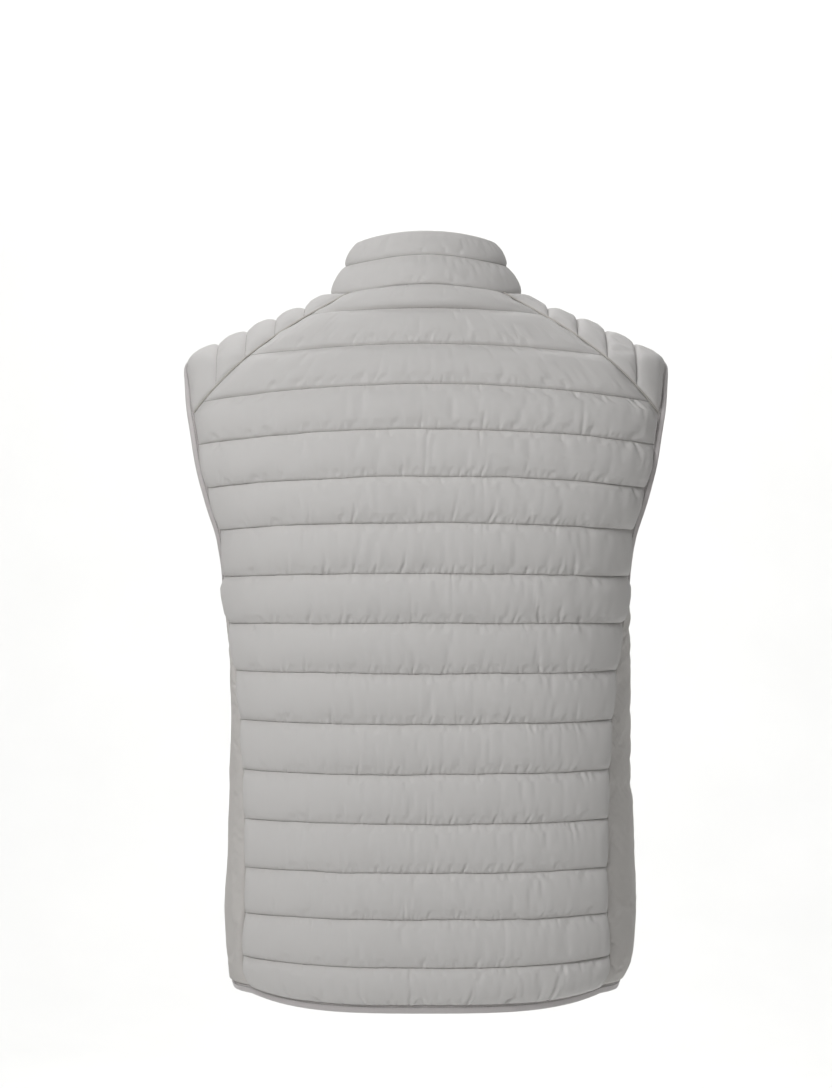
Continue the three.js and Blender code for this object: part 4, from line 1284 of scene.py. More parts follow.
class Finish:
    """One procedural material and its nodes."""

    def __init__(self, name, colour, roughness):
        self.material = bpy.data.materials.new(name)
        self.material.use_nodes = True
        self.tree = self.material.node_tree
        self.shader = self.tree.nodes["Principled BSDF"]
        self.shader.inputs["Base Color"].default_value = (*colour, 1)
        self.shader.inputs["Roughness"].default_value = roughness
        self.coordinates = self.tree.nodes.new("ShaderNodeTexCoord")

    def add(self, kind, inputs=(), **settings):
        node = self.tree.nodes.new(kind)
        for name, value in settings.items():
            setattr(node, name, value)
        for name, value in dict(inputs).items():
            if isinstance(value, bpy.types.NodeSocket):
                self.tree.links.new(value, node.inputs[name])
            else:
                node.inputs[name].default_value = value
        return node

    def mapped(self, source, scale):
        place = self.coordinates.outputs[source]
        return self.add("ShaderNodeMapping", {"Vector": place, "Scale": scale}).outputs["Vector"]

    def noise(self, vector, detail):
        inputs = {"Vector": vector, "Scale": 1.0, "Detail": detail, "Roughness": 0.55}
        return self.add("ShaderNodeTexNoise", inputs).outputs["Fac"]

    def wave(self, vector, scale, direction):
        node = self.add("ShaderNodeTexWave", {"Vector": vector, "Scale": scale}, bands_direction=direction)
        return node.outputs["Fac"]

    def math(self, operation, a, b=0.0):
        return self.add("ShaderNodeMath", {0: a, 1: b}, operation=operation).outputs[0]

    def scaled(self, value, low, high, to_low, to_high):
        inputs = {"Value": value, "From Min": low, "From Max": high, "To Min": to_low, "To Max": to_high}
        return self.add("ShaderNodeMapRange", inputs).outputs["Result"]

    def tinted(self, colour, factors):
        """The colour times each of some factors."""
        shade = self.add("ShaderNodeRGB").outputs[0]
        shade.default_value = (*colour, 1)
        for factor in factors:
            grey = self.add("ShaderNodeCombineColor", {"Red": factor, "Green": factor, "Blue": factor})
            mixed = self.add("ShaderNodeMix", data_type="RGBA", blend_type="MULTIPLY")
            mixed.inputs["Factor"].default_value = 1
            self.tree.links.new(shade, mixed.inputs[6])
            self.tree.links.new(grey.outputs[0], mixed.inputs[7])
            shade = mixed.outputs[2]
        self.tree.links.new(shade, self.shader.inputs["Base Color"])

    def bumped(self, layers):
        """Bump from pairs of a height and its distance in millimetres."""
        normal = None
        for height, distance in layers:
            inputs = {"Height": height, "Distance": distance / 1000, "Strength": 1.0}
            node = self.add("ShaderNodeBump", inputs)
            if normal is not None:
                self.tree.links.new(normal, node.inputs["Normal"])
            normal = node.outputs["Normal"]
        self.tree.links.new(normal, self.shader.inputs["Normal"])


def linear(colour):
    """A screen colour from 0 to 1 as the light that it stands for."""
    return tuple(c / 12.92 if c <= 0.04045 else ((c + 0.055) / 1.055) ** 2.4 for c in colour)


def woven_finish(name, colour, roughness, thread, sheen, darkest_painted_shade=0.42, fine=1.0):
    """Plain-woven cloth: fine crossing threads, slubs, soft patches, and painted shade beside seams and in
    creases.
    """
    cloth = Finish(name, linear(colour), roughness)
    cloth.shader.inputs["Sheen Weight"].default_value = sheen
    cloth.shader.inputs["Sheen Roughness"].default_value = 0.45
    cloth.shader.inputs["Specular IOR Level"].default_value = 0.85
    patches = cloth.noise(cloth.mapped("Object", (9, 9, 9)), 2)
    slub_long = cloth.noise(cloth.mapped("UV", (9, 150, 1)), 3)
    slub_up = cloth.noise(cloth.mapped("UV", (150, 9, 1)), 3)
    grain = cloth.noise(cloth.mapped("UV", (120, 120, 1)), 2)
    wave_scale = 31.4 / thread / 10
    over = cloth.wave(cloth.mapped("UV", (1, 1, 1)), wave_scale, "X")
    under = cloth.wave(cloth.mapped("UV", (1, 1, 1)), wave_scale, "Y")
    weave = cloth.math("MULTIPLY", over, under)
    # A point attribute of painted shade beside the seams and in the creases; it also masks the pinch bump
    # near the seams.
    seam = cloth.add("ShaderNodeAttribute", attribute_name="painted_shade").outputs["Fac"]
    cloth.tinted(
        linear(colour),
        [
            cloth.scaled(patches, 0.3, 0.7, 0.965, 1.03),
            cloth.scaled(slub_long, 0.25, 0.75, 0.97, 1.025),
            cloth.scaled(slub_up, 0.25, 0.75, 0.97, 1.025),
            cloth.scaled(grain, 0.3, 0.7, 0.975, 1.02),
            # Painted shade: the colour darkens towards the darkest factor where the attribute is high.
            cloth.scaled(seam, 0, 1, 1.0, darkest_painted_shade),
        ],
    )
    pinch = cloth.noise(cloth.mapped("UV", (34, 8, 1)), 2)
    pinch = cloth.math("MULTIPLY", pinch, seam)
    cloth.bumped(
        [
            (weave, 0.05 * fine),
            (slub_long, 0.05 * fine),
            (slub_up, 0.05 * fine),
            (grain, 0.08 * fine),
            (pinch, 0.35 * fine),
        ]
    )
    return cloth.material


def thread_finish(name, colour):
    thread = Finish(name, linear(colour), 0.6)
    twist = thread.noise(thread.mapped("Object", (900, 900, 900)), 2)
    thread.tinted(linear(colour), [thread.scaled(twist, 0.3, 0.7, 0.9, 1.06)])
    thread.bumped([(twist, 0.05)])
    return thread.material


def moulded_finish(name, colour, roughness):
    plastic = Finish(name, linear(colour), roughness)
    cloudy = plastic.noise(plastic.mapped("Object", (120, 120, 120)), 2)
    fine = plastic.noise(plastic.mapped("Object", (1500, 1500, 1500)), 2)
    plastic.tinted(linear(colour), [plastic.scaled(cloudy, 0.3, 0.7, 0.95, 1.04)])
    plastic.bumped([(fine, 0.02)])
    return plastic.material


def metal_finish(name, colour, roughness):
    metal = Finish(name, linear(colour), roughness)
    metal.shader.inputs["Metallic"].default_value = 0.9
    worn = metal.noise(metal.mapped("Object", (160, 160, 160)), 3)
    brushed = metal.noise(metal.mapped("Object", (300, 300, 4000)), 2)
    metal.tinted(linear(colour), [metal.scaled(worn, 0.3, 0.7, 0.88, 1.06)])
    rough = metal.scaled(worn, 0.3, 0.7, roughness - 0.06, roughness + 0.1)
    metal.tree.links.new(rough, metal.shader.inputs["Roughness"])
    metal.bumped([(brushed, 0.01)])
    return metal.material


def plain_finish(name, colour, roughness):
    plain = Finish(name, linear(colour), roughness)
    fine = plain.noise(plain.mapped("Object", (3, 3, 3)), 2)
    plain.tinted(linear(colour), [plain.scaled(fine, 0.3, 0.7, 0.99, 1.01)])
    return plain.material


def found_finish(name, make):
    """The finish of this name, made once."""
    return bpy.data.materials.get(name) or make(name)


def shell_finish(context):
    colours = context.scene.vest_colours
    return found_finish("shell_cloth", lambda name: woven_finish(name, colours.shell, 0.47, 0.5, 0.05))


def side_finish(context):
    colours = context.scene.vest_colours
    return found_finish("side_cloth", lambda name: woven_finish(name, colours.side, 0.48, 0.5, 0.05))


def binding_finish(context):
    colours = context.scene.vest_colours
    return found_finish(
        "binding_cloth", lambda name: woven_finish(name, colours.binding, 0.62, 0.7, 0.2, 0.8, 1.5)
    )


def piping_finish(context):
    colours = context.scene.vest_colours
    return found_finish("piping_cloth", lambda name: woven_finish(name, colours.piping, 0.5, 0.5, 0.15, 0.9))


def thread_colour_finish(context):
    colours = context.scene.vest_colours
    return found_finish("sewing_thread", lambda name: thread_finish(name, colours.thread))


# Sizes and colours in the sidebar


def length(name, description, millimetres):
    return FloatProperty(
        name=name,
        description=description,
        default=millimetres / 1000,
        min=0,
        precision=5,
        unit="LENGTH",
        subtype="DISTANCE",
    )


def shade(name, description, red, green, blue):
    return FloatVectorProperty(
        name=name,
        description=description,
        default=(red / 255, green / 255, blue / 255),
        min=0,
        max=1,
        size=3,
        subtype="COLOR_GAMMA",
    )


class VestSizes(bpy.types.PropertyGroup):
    wall: length("Sewn wall", "Thickness where stitches press the padding flat", 2)
    body_puff: length("Body padding", "Crown of a body channel above its stitches", 7.3)
    shoulder_puff: length("Shoulder padding", "Crown of a shoulder channel above its stitches", 5)
    side_puff: length("Side padding", "Padding of the plain side panels", 3.5)
    collar_puff: length("Collar padding", "Crown of a collar channel above its stitches", 3.8)
    collar_top_wall: length("Collar top", "Inner thickness of the collar at its top fold", 4)
    rim: length("Rim", "A channel falls to its end seam over this length", 14)
    swell: length("Hollows", "Depth of the soft hollows beside each row of stitches", 0.42)
    cell: length("Cell", "Spacing of the cloth's grid while it settles", 4.4)
    fine_cell: length("Fine cell", "Spacing of the finished cloth's grid along its stitches", 1.12)
    stitch_pitch: length("Stitch pitch", "From one stitch to the next", 3)
    stitch_length: length("Stitch length", "Visible length of a stitch", 2.2)
    thread_radius: length("Thread radius", "Half the thickness of the thread", 0.28)
    piping_radius: length("Piping radius", "Half the thickness of the piping", 0.85)
    piping_lift: length("Piping lift", "Middle of the piping above its seam", 1.1)
    tooth_pitch: length("Tooth pitch", "From one zip tooth to the next on the same tape", 2.4)
    crown: FloatProperty(
        name="Crown",
        description="How far up a channel it is thickest, as a share of its height",
        default=0.42,
        min=0.1,
        max=0.9,
        subtype="FACTOR",
    )


class VestCloth(bpy.types.PropertyGroup):
    pressure: FloatProperty(
        name="Pressure",
        description="Pressure of the padding while the cloth settles",
        default=6,
        min=0,
    )
    looseness: FloatProperty(
        name="Looseness",
        description="How much wider and longer the cloth is cut than the form",
        default=0.008,
        min=0,
        max=0.2,
        subtype="FACTOR",
    )
    most_move: length("Most movement", "No point of the cloth settles further than this", 5)
    steps: IntProperty(name="Steps", description="Steps of the cloth's settling", default=22, min=1)


class VestColours(bpy.types.PropertyGroup):
    shell: shade("Shell", "Quilted cloth", 190, 173, 163)
    side: shade("Sides", "Plain side panels", 169, 154, 146)
    binding: shade("Binding", "Bindings of armholes and hem", 212, 207, 207)
    piping: shade("Piping", "Corded piping of the back shoulder seams", 200, 196, 190)
    thread: shade("Thread", "Sewing thread", 132, 128, 124)
    zip_tape: shade("Zip tape", "Woven tapes of the zip", 160, 156, 152)
    zip_teeth: shade("Zip teeth", "Moulded teeth and end box of the zip", 150, 146, 141)
    zip_metal: shade("Zip metal", "Slider and pull tab", 150, 148, 145)
    floor: shade("Floor", "Studio floor and backdrop", 244, 244, 243)


# Padded pieces


def fullness(grid, along, seed):
    """Uneven fill of the channels along their length."""
    random = np.random.default_rng(seed)
    full = np.ones(along.shape)
    for one in sorted(set(grid.channel)):
        rows = np.flatnonzero(grid.channel == one)
        for strength, period in ((0.1, 70), (0.06, 26), (0.025, 11)):
            full[rows] += strength * smooth_noise(along[rows] + 1, period, random)
    return full


def row_lengths(points):
    steps = np.linalg.norm(np.diff(points, axis=1), axis=2)
    return np.concatenate([np.zeros((len(points), 1)), np.cumsum(steps, axis=1)], axis=1)


def padded_cloth(context, coarse, fine, side, relief, seed, pressure_share=1.0, looseness_share=1.0):
    """Settles the padded cloth on the coarse grid and carries its form to the fine one."""
    cloth = context.scene.vest_cloth
    turn = np.array([side, 1, 1])
    raised = [(grid.points + grid.normals * relief(grid)[..., None]) * turn for grid in (coarse, fine)]
    held = np.zeros(raised[0].shape[:2])
    held[coarse.seams] = 1
    held[0] = held[-1] = 1
    held[:, 0] = held[:, -1] = 1
    settled = settle(context, raised[0], held, cloth, seed, pressure_share, looseness_share)
    return raised[1] + carried(settled - raised[0], coarse, fine)


def pressed(cloth, base, normals, added):
    """The cloth with some relief added where it stands clear of its stitches."""
    lifted = np.maximum(0, np.sum((cloth - base) * normals, axis=-1))
    return cloth + normals * (added * np.minimum(1, lifted / FULL_RELIEF_AT))[..., None]


def quilted(context, name, grids, side, puff, seed, creases, across=None, drags=(), thins=0.0):
    """Builds a quilted panel from its coarse and fine grids, and gives it with its rows of stitches."""
    size = context.scene.vest_sizes
    coarse, fine = grids

    def relief(grid):
        shape = round_share(grid.share, size.crown)[:, None]
        thin = thins * smooth_step((grid.points[..., 2] - THINS_FROM_Z) / THINS_OVER)
        rims = rim_share(end_distances(grid.points), mm(size.rim) * (1 + thin)) ** (1 + 0.6 * thin)
        return mm(puff) * shape * rims * fullness(grid, row_lengths(grid.points), seed)

    cloth = padded_cloth(context, coarse, fine, side, relief, seed)
    turn = np.array([side, 1, 1])
    base, normals = fine.points * turn, fine.normals * turn
    if across is None:
        across = base[..., 0]
    added = np.zeros(across.shape)
    for tables in creases:
        placed_creases(added, fine, across, tables)
    # Painted shade in the creases: the deeper a crease's trough, the darker the cloth's colour there.
    shade = np.clip(-1.1 * added, 0, 1)
    added += edge_puckers(base, seed + 70) + swells(fine, across, seed + 60, -1, mm(size.swell))
    for row in drags:
        added += crease_height(base[..., 0], base[..., 2], row)
    cloth = pressed(cloth, base, normals, added)
    # Width of the painted shade along the panel's edge seams.
    edge_shade_width = SHOULDER_SEAM_SHADE_WIDTH if thins else SHOULDER_PANEL_SEAM_SHADE_WIDTH
    finish = shell_finish(context)
    return finished_panel(context, name, cloth, base, normals, fine, (3, 4), shade, finish, edge_shade_width)


def edge_puckers(base, seed, depth=0.6):
    """Gathers that run in from a panel's two side edges."""
    random = np.random.default_rng(seed)
    distance = end_distances(base)
    rows = np.cumsum(np.concatenate([[0], np.linalg.norm(np.diff(base[:, 0], axis=0), axis=1)]))
    half = base.shape[1] // 2
    raised = np.zeros(distance.shape)
    for columns in (slice(0, half), slice(half, None)):
        waves = smooth_noise(rows + 1, 11, random) + 0.5 * smooth_noise(rows + 1, 5.5, random)
        raised[:, columns] = waves[:, None] * np.exp(-distance[:, columns] / 9)
    return depth * raised * (1 - np.exp(-distance / 1.5))


def finished_panel(context, name, fine, base, base_normals, grid, inner_step, shade, finish, edge_shade_width):
    """Closes a panel with its plain inner wall and gives it its finish and its painted shade."""
    size = context.scene.vest_sizes
    share, row_height = grid.share, grid.height
    rows, columns = fine.shape[:2]
    seam_rows = [r for r in range(rows) if share[r] < 1e-6 or share[r] > 1 - 1e-6]
    bulge = 1.4 * np.sin(np.clip(share, 0, 1) * math.pi)[:, None] * np.minimum(1, end_distances(base) / 12)
    inner = base - base_normals * (mm(size.wall) + bulge)[..., None]
    kept_rows = set(spaced(rows, inner_step[0])) | set(seam_rows)
    points, faces, behind = closed_wall(fine, inner, kept_rows, spaced(columns, inner_step[1]))
    along = row_lengths(base)
    middle = columns // 2
    up = np.concatenate([[0], np.cumsum(np.linalg.norm(np.diff(base[:, middle], axis=0), axis=1))])
    places = np.stack(np.broadcast_arrays(along - along[:, middle : middle + 1], up[:, None]), axis=-1)
    places = places.reshape(-1, 2)
    # Painted shade from 0 to 1: beside the rows of stitches, along the edge seams and in the creases.
    from_seam = np.minimum(share, 1 - share) * row_height
    row_painted_shade = np.exp(-((from_seam / SEAM_SHADE_WIDTH) ** 2))[:, None]
    upper = smooth_step((base[..., 2] - SHOULDER_SHADE_FROM_Z) / SHOULDER_SHADE_OVER)
    edge_painted_shade = np.exp(-((end_distances(base) / mix(SEAM_SHADE_WIDTH, edge_shade_width, upper)) ** mix(2, 4, upper)))
    near = np.maximum(np.maximum(row_painted_shade, edge_painted_shade), 0.75 * shade).ravel()
    piece = new_piece(
        context,
        name,
        points,
        faces,
        finish,
        np.concatenate([places, places[behind]]),
        # the inner wall gets a weaker copy of the painted shade
        np.concatenate([near, 0.3 * near[behind]]),
    )
    return piece, fine, seam_rows


def settle_in(piece, body, nodes):
    """Names what a piece moves with and hides the nodes it stands for."""
    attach(piece, body)
    if nodes:
        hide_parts(*nodes)


class VEST_OT_back(bpy.types.Operator):
    """Back panel with its sixteen quilted channels and their stitches"""

    bl_idname = "vest.back"
    bl_label = "Add back"

    def execute(self, context):
        size = context.scene.vest_sizes
        grids = (
            back_grid(even_spots(mm(size.cell)), mm(size.cell), 11),
            back_grid(close_spots, mm(size.fine_cell), 11),
        )
        creases = [
            (RISING_CREASES, HANGING_CREASES),
            notches((-205, 205), range(15), 12, -1),
        ]
        piece, fine, seams = quilted(
            context, "back_quilt", grids, LEFT, size.body_puff, 21, creases, None, BACK_DRAGS, SEAM_THINS
        )
        settle_in(piece, "vest", ["back"])
        runs = [(fine[r], outward(fine[r])) for r in seams[1:-1]]
        stitches = stitched_rows(context, "back_stitches", runs, size, thread_colour_finish(context))
        settle_in(stitches, "vest", [])
        return {"FINISHED"}


class VEST_OT_fronts(bpy.types.Operator):
    """Left and right front panels, quilted to match the back"""

    bl_idname = "vest.fronts"
    bl_label = "Add fronts"

    def execute(self, context):
        size = context.scene.vest_sizes
        for name, side, seed in (("left", LEFT, 31), ("right", RIGHT, 41)):
            grids = (
                front_grid(even_spots(mm(size.cell)), mm(size.cell), seed),
                front_grid(close_spots, mm(size.fine_cell), seed),
            )
            reach = (10, 190) if side > 0 else (-190, -10)
            creases = [
                scattered_creases(seed + 1, reach, range(13), 22),
                notches(reach, range(14), seed + 2, side),
            ]
            piece, fine, seams = quilted(
                context, f"front_quilt_{name}", grids, side, size.body_puff, seed, creases, thins=SEAM_THINS
            )
            settle_in(piece, "vest", [f"front_{name}"])
            runs = [(fine[r], outward(fine[r])) for r in seams[1:]]
            stitches = stitched_rows(
                context, f"front_stitches_{name}", runs, size, thread_colour_finish(context)
            )
            settle_in(stitches, "vest", [])
        return {"FINISHED"}


class VEST_OT_sides(bpy.types.Operator):
    """Left and right side panels, padded but not quilted"""

    bl_idname = "vest.sides"
    bl_label = "Add sides"

    def execute(self, context):
        size = context.scene.vest_sizes
        coarse, fine = side_grid(mm(size.cell)), side_grid(SIDE_FINE_CELL)
        for name, side, seed in (("left", LEFT, 51), ("right", RIGHT, 61)):

            def relief(grid, seed=seed):
                return self.relief(size, grid, seed)

            cloth = padded_cloth(context, coarse, fine, side, relief, seed, 0.35, 1.3)
            turn = np.array([side, 1, 1])
            base, normals = fine.points * turn, fine.normals * turn
            added = self.edge_creases(base, seed + 5) + edge_puckers(base, seed + 3, 0.5)
            # Painted shade in the side panel's creases, darker where a crease is deeper.
            shade = np.clip(-added, 0, 1)
            cloth = pressed(cloth, base, normals, added)
            piece, _, _ = finished_panel(
                context,
                f"side_panel_{name}",
                cloth,
                base,
                normals,
                fine,
                (4, 4),
                shade,
                side_finish(context),
                SHOULDER_SEAM_SHADE_WIDTH,
            )
            settle_in(piece, "vest", [f"side_{name}"])
        return {"FINISHED"}

    def relief(self, size, grid, seed):
        """Height of the side's padding, full between its edges and dimpled."""
        random = np.random.default_rng(seed)
        points = grid.points
        up = points[..., 2] - points[0, :, 2].min()
        top_gap = points[-1, :, 2].min() - points[..., 2]
        ends = rim_share(np.maximum(0, np.minimum(points[..., 2] - points[0, 0, 2], top_gap)), mm(size.rim))
        rims = rim_share(end_distances(points), mm(size.rim)) * ends
        across = row_lengths(points)
        dimples = patchy_noise(up / 42, (across + 5) / 34, random)
        small = patchy_noise(up / 17, (across + 5) / 21, random)
        return mm(size.side_puff) * rims * (0.82 + 0.3 * dimples + 0.16 * small)

    def edge_creases(self, base, seed):
        """Short slanted creases that run in from the two side seams."""
        random = np.random.default_rng(seed)
        from_back = row_lengths(base)
        added = np.zeros(from_back.shape)
        for distance in (from_back, from_back[:, -1:] - from_back):
            place = float(base[..., 2].min())
            while place < -300:
                place += float(random.uniform(7, 24))
                long = float(random.uniform(5, 17))
                lean = float(random.choice([-1, -1, 1]) * random.uniform(0.3, 1.1)) * long
                sharp = float(random.uniform(0.5, 1.1))
                relief = np.zeros((distance.shape[1], distance.shape[0]))
                run_crease(relief, base[..., 2].T, distance.T, place, lean, long, sharp)
                added += relief.T
        return added


class VEST_OT_shoulders(bpy.types.Operator):
    """Left and right shoulder panels, whose channels run over the shoulder"""

    bl_idname = "vest.shoulders"
    bl_label = "Add shoulders"

    def execute(self, context):
        size = context.scene.vest_sizes
        for name, side, seed in (("left", LEFT, 71), ("right", RIGHT, 81)):
            grids = (
                shoulder_grid(even_spots(mm(size.cell) * 0.8), mm(size.cell) * 0.8),
                shoulder_grid(close_spots, mm(size.fine_cell)),
            )
            for grid in grids:
                grid.share = 1 - grid.share
            across = row_lengths(grids[1].points)
            creases = [notches((0, 200), range(5), seed + 2, 1, 0.9)]
            piece, fine, seams = quilted(
                context, f"shoulder_quilt_{name}", grids, side, size.shoulder_puff, seed, creases, across
            )
            settle_in(piece, "vest", [f"shoulder_{name}"])
            runs = [(fine[r], outward(fine[r])) for r in seams[1:-1]]
            stitches = stitched_rows(
                context, f"shoulder_stitches_{name}", runs, size, thread_colour_finish(context)
            )
            settle_in(stitches, "vest", [])
        return {"FINISHED"}


class VEST_OT_collar(bpy.types.Operator):
    """Stand collar of two padded channels with a rolled top"""

    bl_idname = "vest.collar"
    bl_label = "Add collar"

    def execute(self, context):
        size = context.scene.vest_sizes
        coarse = self.grid(even_spots(mm(size.cell)), mm(size.cell))
        fine = self.grid(close_spots, mm(size.fine_cell))

        def relief(grid):
            shape = round_share(grid.share, size.crown)
            shape = np.where((grid.channel == 1) & (grid.share > 0.5), np.maximum(shape, 0.5), shape)
            rims = rim_share(end_distances(grid.points), mm(size.rim))
            return mm(size.collar_puff) * shape[:, None] * rims * fullness(grid, row_lengths(grid.points), 93)

        cloth = padded_cloth(context, coarse, fine, LEFT, relief, 91, 0.8)
        base, normals = fine.points, fine.normals
        across = row_lengths(base)
        added = np.zeros(across.shape)
        placed_creases(added, fine, across, notches((0, float(np.max(across))), range(2), 95, 1, 0.4))
        # Painted shade in the collar's notches, darker where a notch is deeper.
        shade = np.clip(-added, 0, 1)
        cloth = pressed(cloth, base, normals, added)
        piece = self.rolled(context, cloth, fine, shade)
        settle_in(piece, "vest", ["collar"])
        middle = fine.seams[1]
        runs = [(cloth[middle], normals[middle])]
        stitches = stitched_rows(context, "collar_stitches", runs, size, thread_colour_finish(context))
        settle_in(stitches, "vest", [])
        return {"FINISHED"}

    def grid(self, spots, cell):
        """The collar's outside up to where its top rolls in, with the top edge kept beside it."""
        foot, top = collar_ends(cell)
        tall = float(np.linalg.norm(top - foot, axis=1).mean())
        low, high = COLLAR_STITCH_SHARE * tall, (1 - COLLAR_STITCH_SHARE) * tall
        places = spots(low) + [low + spot for spot in spots(high)]
        roll_from = 0.93 * tall
        places = np.array([place for place in places if place < roll_from - 1] + [roll_from])
        points = mix(foot[None], top[None], (places / tall)[:, None, None])
        channel = (places > low - 1e-6).astype(int)
        height = np.where(channel == 0, low, high)
        share = np.where(channel == 0, places / low, (places - low) / high)
        grid = Grid(points, places, channel, share, height)
        grid.normals = side_by_side_normals(points, COLLAR_Y)
        grid.top = top
        return grid

    def rolled(self, context, fine, grid, shade):
        """Carries the outside over the collar's top and closes it with a plain inside."""
        size = context.scene.vest_sizes
        base, base_normals, top = grid.points, grid.normals, grid.top
        part, row_height = grid.share, grid.height
        share = grid.place / grid.place[-1]
        wall = mix(mm(size.wall), mm(size.collar_top_wall), share)[:, None, None]
        bulge = 1.2 * np.sin(np.clip(part, 0, 1) * math.pi)[:, None, None]
        inner = base - base_normals * (wall + bulge)
        outer_edge, inner_edge = fine[-1], inner[-1]
        middle = (outer_edge + inner_edge) / 2
        across = (outer_edge - inner_edge) / 2
        rise = np.linalg.norm(top - base[-1], axis=-1, keepdims=True)
        up = unit(top - base[-1])
        arc = []
        for angle in np.linspace(0, math.pi, 10)[1:]:
            arc.append(middle + across * math.cos(angle) + up * rise * math.sin(angle) * 1.05)
        arc = np.array(arc)
        outer = np.concatenate([fine, arc])
        inside = np.concatenate([inner, arc - up * 0.35])
        rows, columns = outer.shape[:2]
        kept_rows = spaced(len(fine) - 1, 4)[:-1] + [rows - 1]
        points, faces, behind = closed_wall(outer, inside, kept_rows, spaced(columns, 3))
        along = row_lengths(base)
        along = np.concatenate([along, np.repeat(along[-1:], len(arc), axis=0)])
        up_steps = np.linalg.norm(np.diff(outer[:, columns // 2], axis=0), axis=1)
        height = np.concatenate([[0], np.cumsum(up_steps)])
        places = np.stack(np.broadcast_arrays(along, height[:, None]), axis=-1).reshape(-1, 2)
        # Painted shade beside the collar's rows of stitches and in its notches; none on the rolled top or the
        # inside.
        from_seam = np.minimum(part, 1 - part) * row_height
        from_seam = np.concatenate([from_seam, np.full(len(arc), 50.0)])
        from_seam[len(fine) - 4 : len(fine)] = 50
        near = np.exp(-((np.broadcast_to(from_seam[:, None], along.shape) / SEAM_SHADE_WIDTH) ** 2))
        near[: len(fine)] = np.maximum(near[: len(fine)], 0.5 * shade)
        near = near.ravel()
        return new_piece(
            context,
            "collar_quilt",
            points,
            faces,
            shell_finish(context),
            np.concatenate([places, places[behind]]),
            np.concatenate([near, 0 * near[behind]]),
        )


# Edges


class VEST_OT_pipings(bpy.types.Operator):
    """Corded piping along both back shoulder seams"""

    bl_idname = "vest.pipings"
    bl_label = "Add pipings"

    def execute(self, context):
        size = context.scene.vest_sizes
        start = float(neck_point(np.array(BACK_NECK_CORNER))[0]) + 1
        end = float(armhole_x(SHOULDER_END_Z[BACK], BACK)) - 1
        x = np.linspace(start, end, 400)
        line = on_face(x, shoulder_seam_z(x, BACK), BACK)
        line = evenly(line, PIPING_SPACING)[0]
        normals = outward(line)
        across = unit(np.cross(np.gradient(line, axis=0), normals))
        spin = np.arange(PIPING_SIDES) / PIPING_SIDES * 2 * math.pi
        travel = np.arange(len(line)) * PIPING_SPACING
        round_cord = np.arange(PIPING_SIDES)[None] * 0.6
        places = np.stack(np.broadcast_arrays(travel[:, None], round_cord), axis=-1).reshape(-1, 2)
        for name, side, seed in (("left", LEFT, 101), ("right", RIGHT, 102)):
            random = np.random.default_rng(seed)
            radius = mm(size.piping_radius) * (1 + 0.06 * smooth_noise(travel, 4, random))
            sideways = radius[:, None] * np.cos(spin)[None]
            out = mm(size.piping_lift) + radius[:, None] * np.sin(spin)[None]
            section = np.stack([sideways, out], axis=-1)
            points, faces = carried_section(line, normals, across, section, False)
            piece = new_piece(
                context,
                f"piping_cord_{name}",
                points * [side, 1, 1],
                faces,
                piping_finish(context),
                places,
                np.zeros(len(points)),
            )
            settle_in(piece, "vest", [f"piping_{name}"])
        return {"FINISHED"}


def binding_strip(context, name, line, normals, away, band, closed, seed, flare=None):
    """A folded binding along an edge, with a little unevenness, and its row of stitches."""
    size = context.scene.vest_sizes
    line, normals = evenly(line, BINDING_SPACING, closed, [normals])
    normals = unit(normals)
    if closed:
        run = np.roll(line, -1, axis=0) - np.roll(line, 1, axis=0)
    else:
        run = np.gradient(line, axis=0)
    off = unit(np.cross(unit(run), normals))
    off = off * np.sign(np.sum(off * away(line), axis=-1, keepdims=True))
    if flare is not None:
        angle = flare(line)[:, None]
        off, normals = (
            off * np.cos(angle) + normals * np.sin(angle),
            normals * np.cos(angle) - off * np.sin(angle),
        )
    random = np.random.default_rng(seed)
    travel = np.arange(len(line)) * BINDING_SPACING
    wave = smooth_noise(travel, 9, random) + 0.6 * smooth_noise(travel, 4.5, random)
    if closed:
        fade = np.minimum(1, np.minimum(travel, travel[-1] - travel) / 20)
        wave = wave * fade
    wide, above, below = band
    section = rounded_section(wide, above, below)
    sections = np.repeat(section[None], len(line), axis=0)
    upper = np.clip((section[:, 1] + 0.2) / above, 0, 1)
    sections[..., 1] += upper[None] * 0.22 * wave[:, None]
    groove = np.exp(-(((section[:, 0] - BINDING_STITCH_IN) / 0.7) ** 2)) * upper
    sections[..., 1] -= 0.35 * groove[None]
    sections[..., 0] += SEAM_GAP - EDGE_TRIM
    points, faces = carried_section(line, normals, off, sections, closed)
    ring = np.arange(len(section)) / len(section) * 2 * (wide + above + below)
    places = np.stack(np.broadcast_arrays(travel[:, None], ring[None]), axis=-1).reshape(-1, 2)
    piece = new_piece(
        context,
        name,
        points,
        faces,
        binding_finish(context),
        places,
        # painted shade in the groove of the binding's stitches
        np.broadcast_to(groove[None], (len(line), len(section))).ravel(),
    )
    stitch_line = line + off * (SEAM_GAP - EDGE_TRIM + BINDING_STITCH_IN) + normals * (above - 0.3)
    if closed:
        stitch_line = np.concatenate([stitch_line, stitch_line[:1]])
        normals = np.concatenate([normals, normals[:1]])
    stitches = stitched_rows(
        context, f"{name}_stitches", [(stitch_line, normals)], size, thread_colour_finish(context)
    )
    settle_in(stitches, "vest", [])
    return piece


def armhole_flare(line):
    """How far the armhole's binding turns out from the cloth, most at its back and front."""
    up = (line[:, 2] - ARMHOLE_Z) / (0.5 * np.ptp(line[:, 2]))
    share = np.clip(1 - np.abs(up) ** 4, 0.12, 1) * smooth_step((up + 1.1) / 0.9)
    return math.radians(ARMHOLE_FLARE) * share


